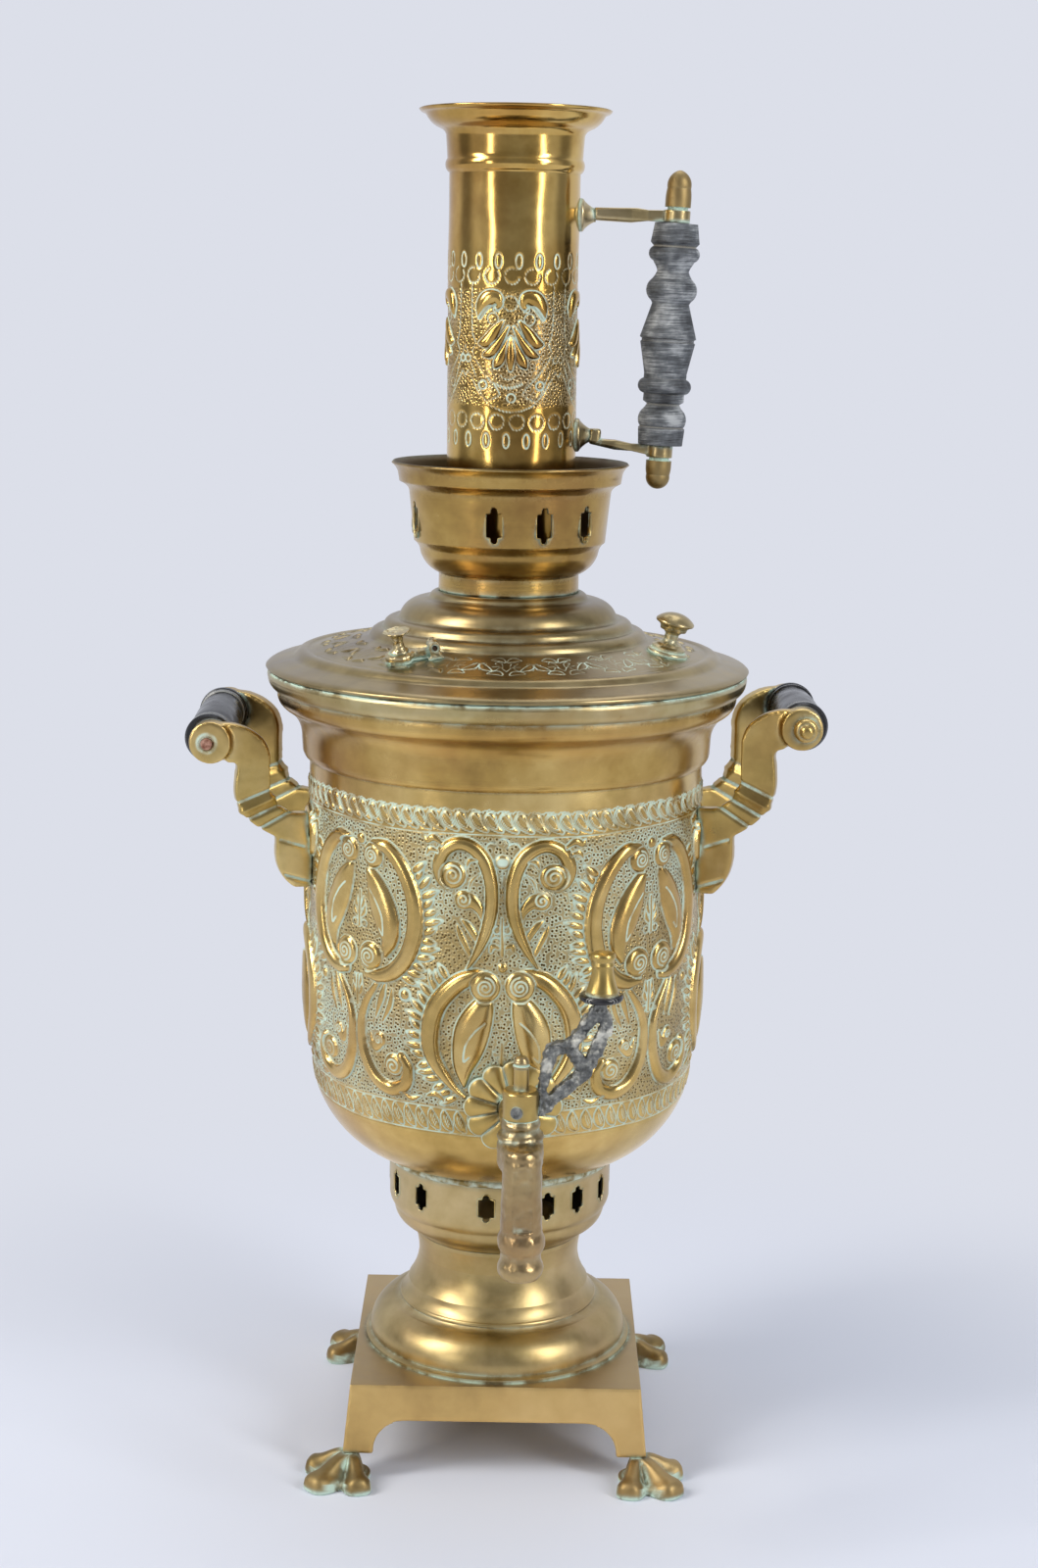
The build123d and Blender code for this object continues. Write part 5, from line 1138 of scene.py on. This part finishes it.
def add_camera():
    data = bpy.data.cameras.new("camera")
    data.lens = LENS
    data.sensor_width = SENSOR
    data.shift_y = SHIFT_UP
    camera = bpy.data.objects.new("camera", data)
    bpy.context.scene.collection.objects.link(camera)
    pitch, roll = math.radians(PITCH), math.radians(ROLL)
    ahead = Vector((0, math.cos(pitch), -math.sin(pitch)))
    level_up = Vector((0, math.sin(pitch), math.cos(pitch)))
    right = Vector((1, 0, 0)) * math.cos(roll) + level_up * math.sin(roll)
    up = level_up * math.cos(roll) - Vector((1, 0, 0)) * math.sin(roll)
    turn = Matrix((right, up, -ahead)).transposed().to_4x4()
    camera.matrix_world = Matrix.Translation(EYE) @ turn
    bpy.context.scene.camera = camera


def add_area_light(name, azimuth, elevation, distance, width, height, power, tint):
    data = bpy.data.lights.new(name, "AREA")
    data.shape = "RECTANGLE"
    data.size, data.size_y = width, height
    data.energy = power
    data.color = linear(tint)[:3]
    light = bpy.data.objects.new(name, data)
    bpy.context.scene.collection.objects.link(light)
    a, e = math.radians(azimuth), math.radians(elevation)
    out = Vector((math.sin(a) * math.cos(e), -math.cos(a) * math.cos(e), math.sin(e)))
    light.location = Vector((0, AXIS_Y, LIGHTS_AIM)) + out * distance
    light.rotation_mode = "QUATERNION"
    light.rotation_quaternion = out.to_track_quat("Z", "Y")


def add_room():
    """What surrounds the samovar: a soft even fill, and the room that its metal mirrors."""
    world = bpy.data.worlds.new("studio")
    world.use_nodes = True
    tree = world.node_tree
    tree.nodes.clear()
    path = add(tree, "LightPath").outputs
    direction = add(tree, "TexCoord").outputs["Generated"]
    parts = add(tree, "SeparateXYZ", {0: direction}).outputs
    # The room is dim on the side of the tap and bright round the pale backdrop.
    depth = add(tree, "MapRange", {0: parts[1], 1: -0.95, 2: 0.25, 3: 0.40, 4: 1.08},
                interpolation_type="SMOOTHSTEP").outputs[0]
    # Past the ends of the backdrop the room shows as a dark strip on either hand.
    aside = add(tree, "Math", {0: parts[1], 1: 0.06}, operation="SUBTRACT").outputs[0]
    aside = add(tree, "Math", {0: aside}, operation="ABSOLUTE").outputs[0]
    gap = add(tree, "MapRange", {0: aside, 1: 0.08, 2: 0.38, 3: 0.34, 4: 1.0},
              interpolation_type="SMOOTHSTEP").outputs[0]
    depth = add(tree, "Math", {0: depth, 1: gap}, operation="MULTIPLY").outputs[0]
    fill = add(tree, "Background", {"Color": linear("#E9ECF6"), "Strength": 0.42}).outputs[0]
    mirrored_room = add(tree, "Background", {"Color": linear(BACKDROP), "Strength": depth}).outputs[0]
    shown = add(tree, "Background", {"Color": linear(BACKDROP), "Strength": 1.0}).outputs[0]
    seen = add(tree, "Math", {0: path["Is Camera Ray"], 1: path["Is Transmission Ray"]},
               operation="MAXIMUM").outputs[0]
    lit = add(tree, "MixShader", {0: path["Is Glossy Ray"], 1: fill, 2: mirrored_room}).outputs[0]
    mixed = add(tree, "MixShader", {0: seen, 1: lit, 2: shown}).outputs[0]
    add(tree, "OutputWorld", {"Surface": mixed})
    bpy.context.scene.world = world


FLOOR_R, FLOOR_CORNERS = 4.0, 96
FADE_FROM, FADE_TO = 0.16, 0.55       # metres out, where the floor turns into the backdrop


def add_floor():
    """A round pale floor that fades into the backdrop."""
    mesh = bpy.data.meshes.new("floor")
    turns = [math.tau * i / FLOOR_CORNERS for i in range(FLOOR_CORNERS)]
    mesh.from_pydata([(FLOOR_R * math.cos(a), FLOOR_R * math.sin(a), 0.0) for a in turns], [],
                     [list(range(FLOOR_CORNERS))])
    floor = bpy.data.objects.new("floor", mesh)
    bpy.context.scene.collection.objects.link(floor)
    material, tree = new_material("pale_floor")
    place = add(tree, "TexCoord").outputs["Object"]
    out = add(tree, "VectorMath", {0: place}, operation="LENGTH").outputs["Value"]
    far = add(tree, "MapRange", {0: out, 1: FADE_FROM, 2: FADE_TO, 3: 0.0, 4: 1.0},
              interpolation_type="SMOOTHSTEP").outputs[0]
    path = add(tree, "LightPath").outputs
    seen = add(tree, "Math", {0: path["Is Camera Ray"], 1: path["Is Glossy Ray"]},
               operation="MAXIMUM").outputs[0]
    fade = add(tree, "Math", {0: far, 1: seen}, operation="MULTIPLY").outputs[0]
    # Painted reflection: in polished metal the floor shows paler and its far glow stronger than the camera
    # sees them, standing in for the table lit nearer the lamps.
    tone = add(tree, "Mix", {0: path["Is Glossy Ray"], 6: linear("#D5DAE6"), 7: linear("#F6F6F8")},
               data_type="RGBA").outputs[2]
    matt = add(tree, "BsdfDiffuse", {"Color": tone}).outputs[0]
    strength = add(tree, "MapRange", {0: path["Is Glossy Ray"], 3: 1.0, 4: 1.14}).outputs[0]
    glow = add(tree, "Emission", {"Color": linear(BACKDROP), "Strength": strength}).outputs[0]
    mixed = add(tree, "MixShader", {0: fade, 1: matt, 2: glow}).outputs[0]
    add(tree, "OutputMaterial", {"Surface": mixed})
    mesh.materials.append(material)


# ---------------------------------------------------------------- finishes of the carried-over pieces
def dress(node, material):
    piece = NODES[node]
    piece.data.materials.clear()
    piece.data.materials.append(material)
    for face in piece.data.polygons:
        face.use_smooth = True


PAWS = {"paw_front_left": 225, "paw_front_right": 315, "paw_rear_left": 135, "paw_rear_right": 45}
# The chimney's arms are cast 1.3 mm thicker, but for the last 20 mm by the grip, over a taper of 8 mm.
ARM_THICKER, ARM_SLIM_END, ARM_TAPER = 1.3, 20, 8


def add_arms(material):
    for node in ("chimney_arm_upper", "chimney_arm_lower"):
        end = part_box(node)[1].x / MM

        def thicken(places):
            share = np.clip((end - ARM_SLIM_END - places[:, 0]) / ARM_TAPER, 0, 1)
            return ARM_THICKER * share, np.zeros(len(places))

        recast(node, material, voxel=0.45, carve=thicken)


def dress_all():
    cast, crusted, white_metal = cast_brass(), crusted_brass(), cast_white_metal()
    foot, spun, paw = foot_brass(), spun_brass(), paw_brass()
    add_tank(chased_brass())
    add_chimney(chimney_brass())
    add_lid(tarnished_lid_brass())
    for node, sheet_brass in (("crown_bowl", spun), ("draught_ring", foot)):
        add_pierced(node, sheet_brass)
        add_hole_lips(node, cast)
    add_rosette(cast)
    for node, azimuth in PAWS.items():
        add_paw(node, azimuth, paw)
    add_brackets(cast)
    recast("plinth", plate_brass(), voxel=1.0, rounds=3)
    recast("tap_body", crusted, voxel=0.6, lumps=0.35, lump_size=7.0)
    recast("tap_key_branch", white_metal, voxel=0.45, rounds=5, lumps=1.3, lump_size=5.0)
    add_arms(crusted)
    for node in ("vent_seat", "vent_flap", "vent_flap_knob"):
        recast(node, crusted, voxel=0.32, lumps=0.3, lump_size=2.4)
    finishes = {
        foot: ["pedestal"],
        spun: ["neck_collar", "lid_skirt", "crown_seat_ring", "fire_tube"],
        seam_brass(): ["tank_rim_ring"],
        cast: ["tap_plug", "tap_key_knob", "handle_nuts_right"],
        crusted: ["lid_knob", "tap_plug_finial", "tap_plug_nut", "tap_back_nut", "chimney_boss_upper",
                  "chimney_boss_lower"],
        paw: ["chimney_acorn_upper", "chimney_acorn_lower"],
        white_metal: ["tap_plug_rivet"],
        tin_solder(): ["base_solder_ring"],
        dark_iron(): ["fire_grate", "vent_hinge_pin", "lid_knob_nut", "chimney_handle_rod"],
        copper_rod_end(): ["handle_rod_left", "handle_rod_right"],
        black_lacquered_wood(): ["handle_grip_left", "handle_grip_right", "tap_key_washer"],
        weathered_wood(): ["chimney_grip"],
    }
    for material, nodes in finishes.items():
        for node in nodes:
            dress(node, material)


# ---------------------------------------------------------------- the whole scene
add_camera()
for row in LIGHTS:
    add_area_light(*row)
add_room()
add_floor()
dress_all()

bpy.context.scene.view_settings.view_transform = "Standard"
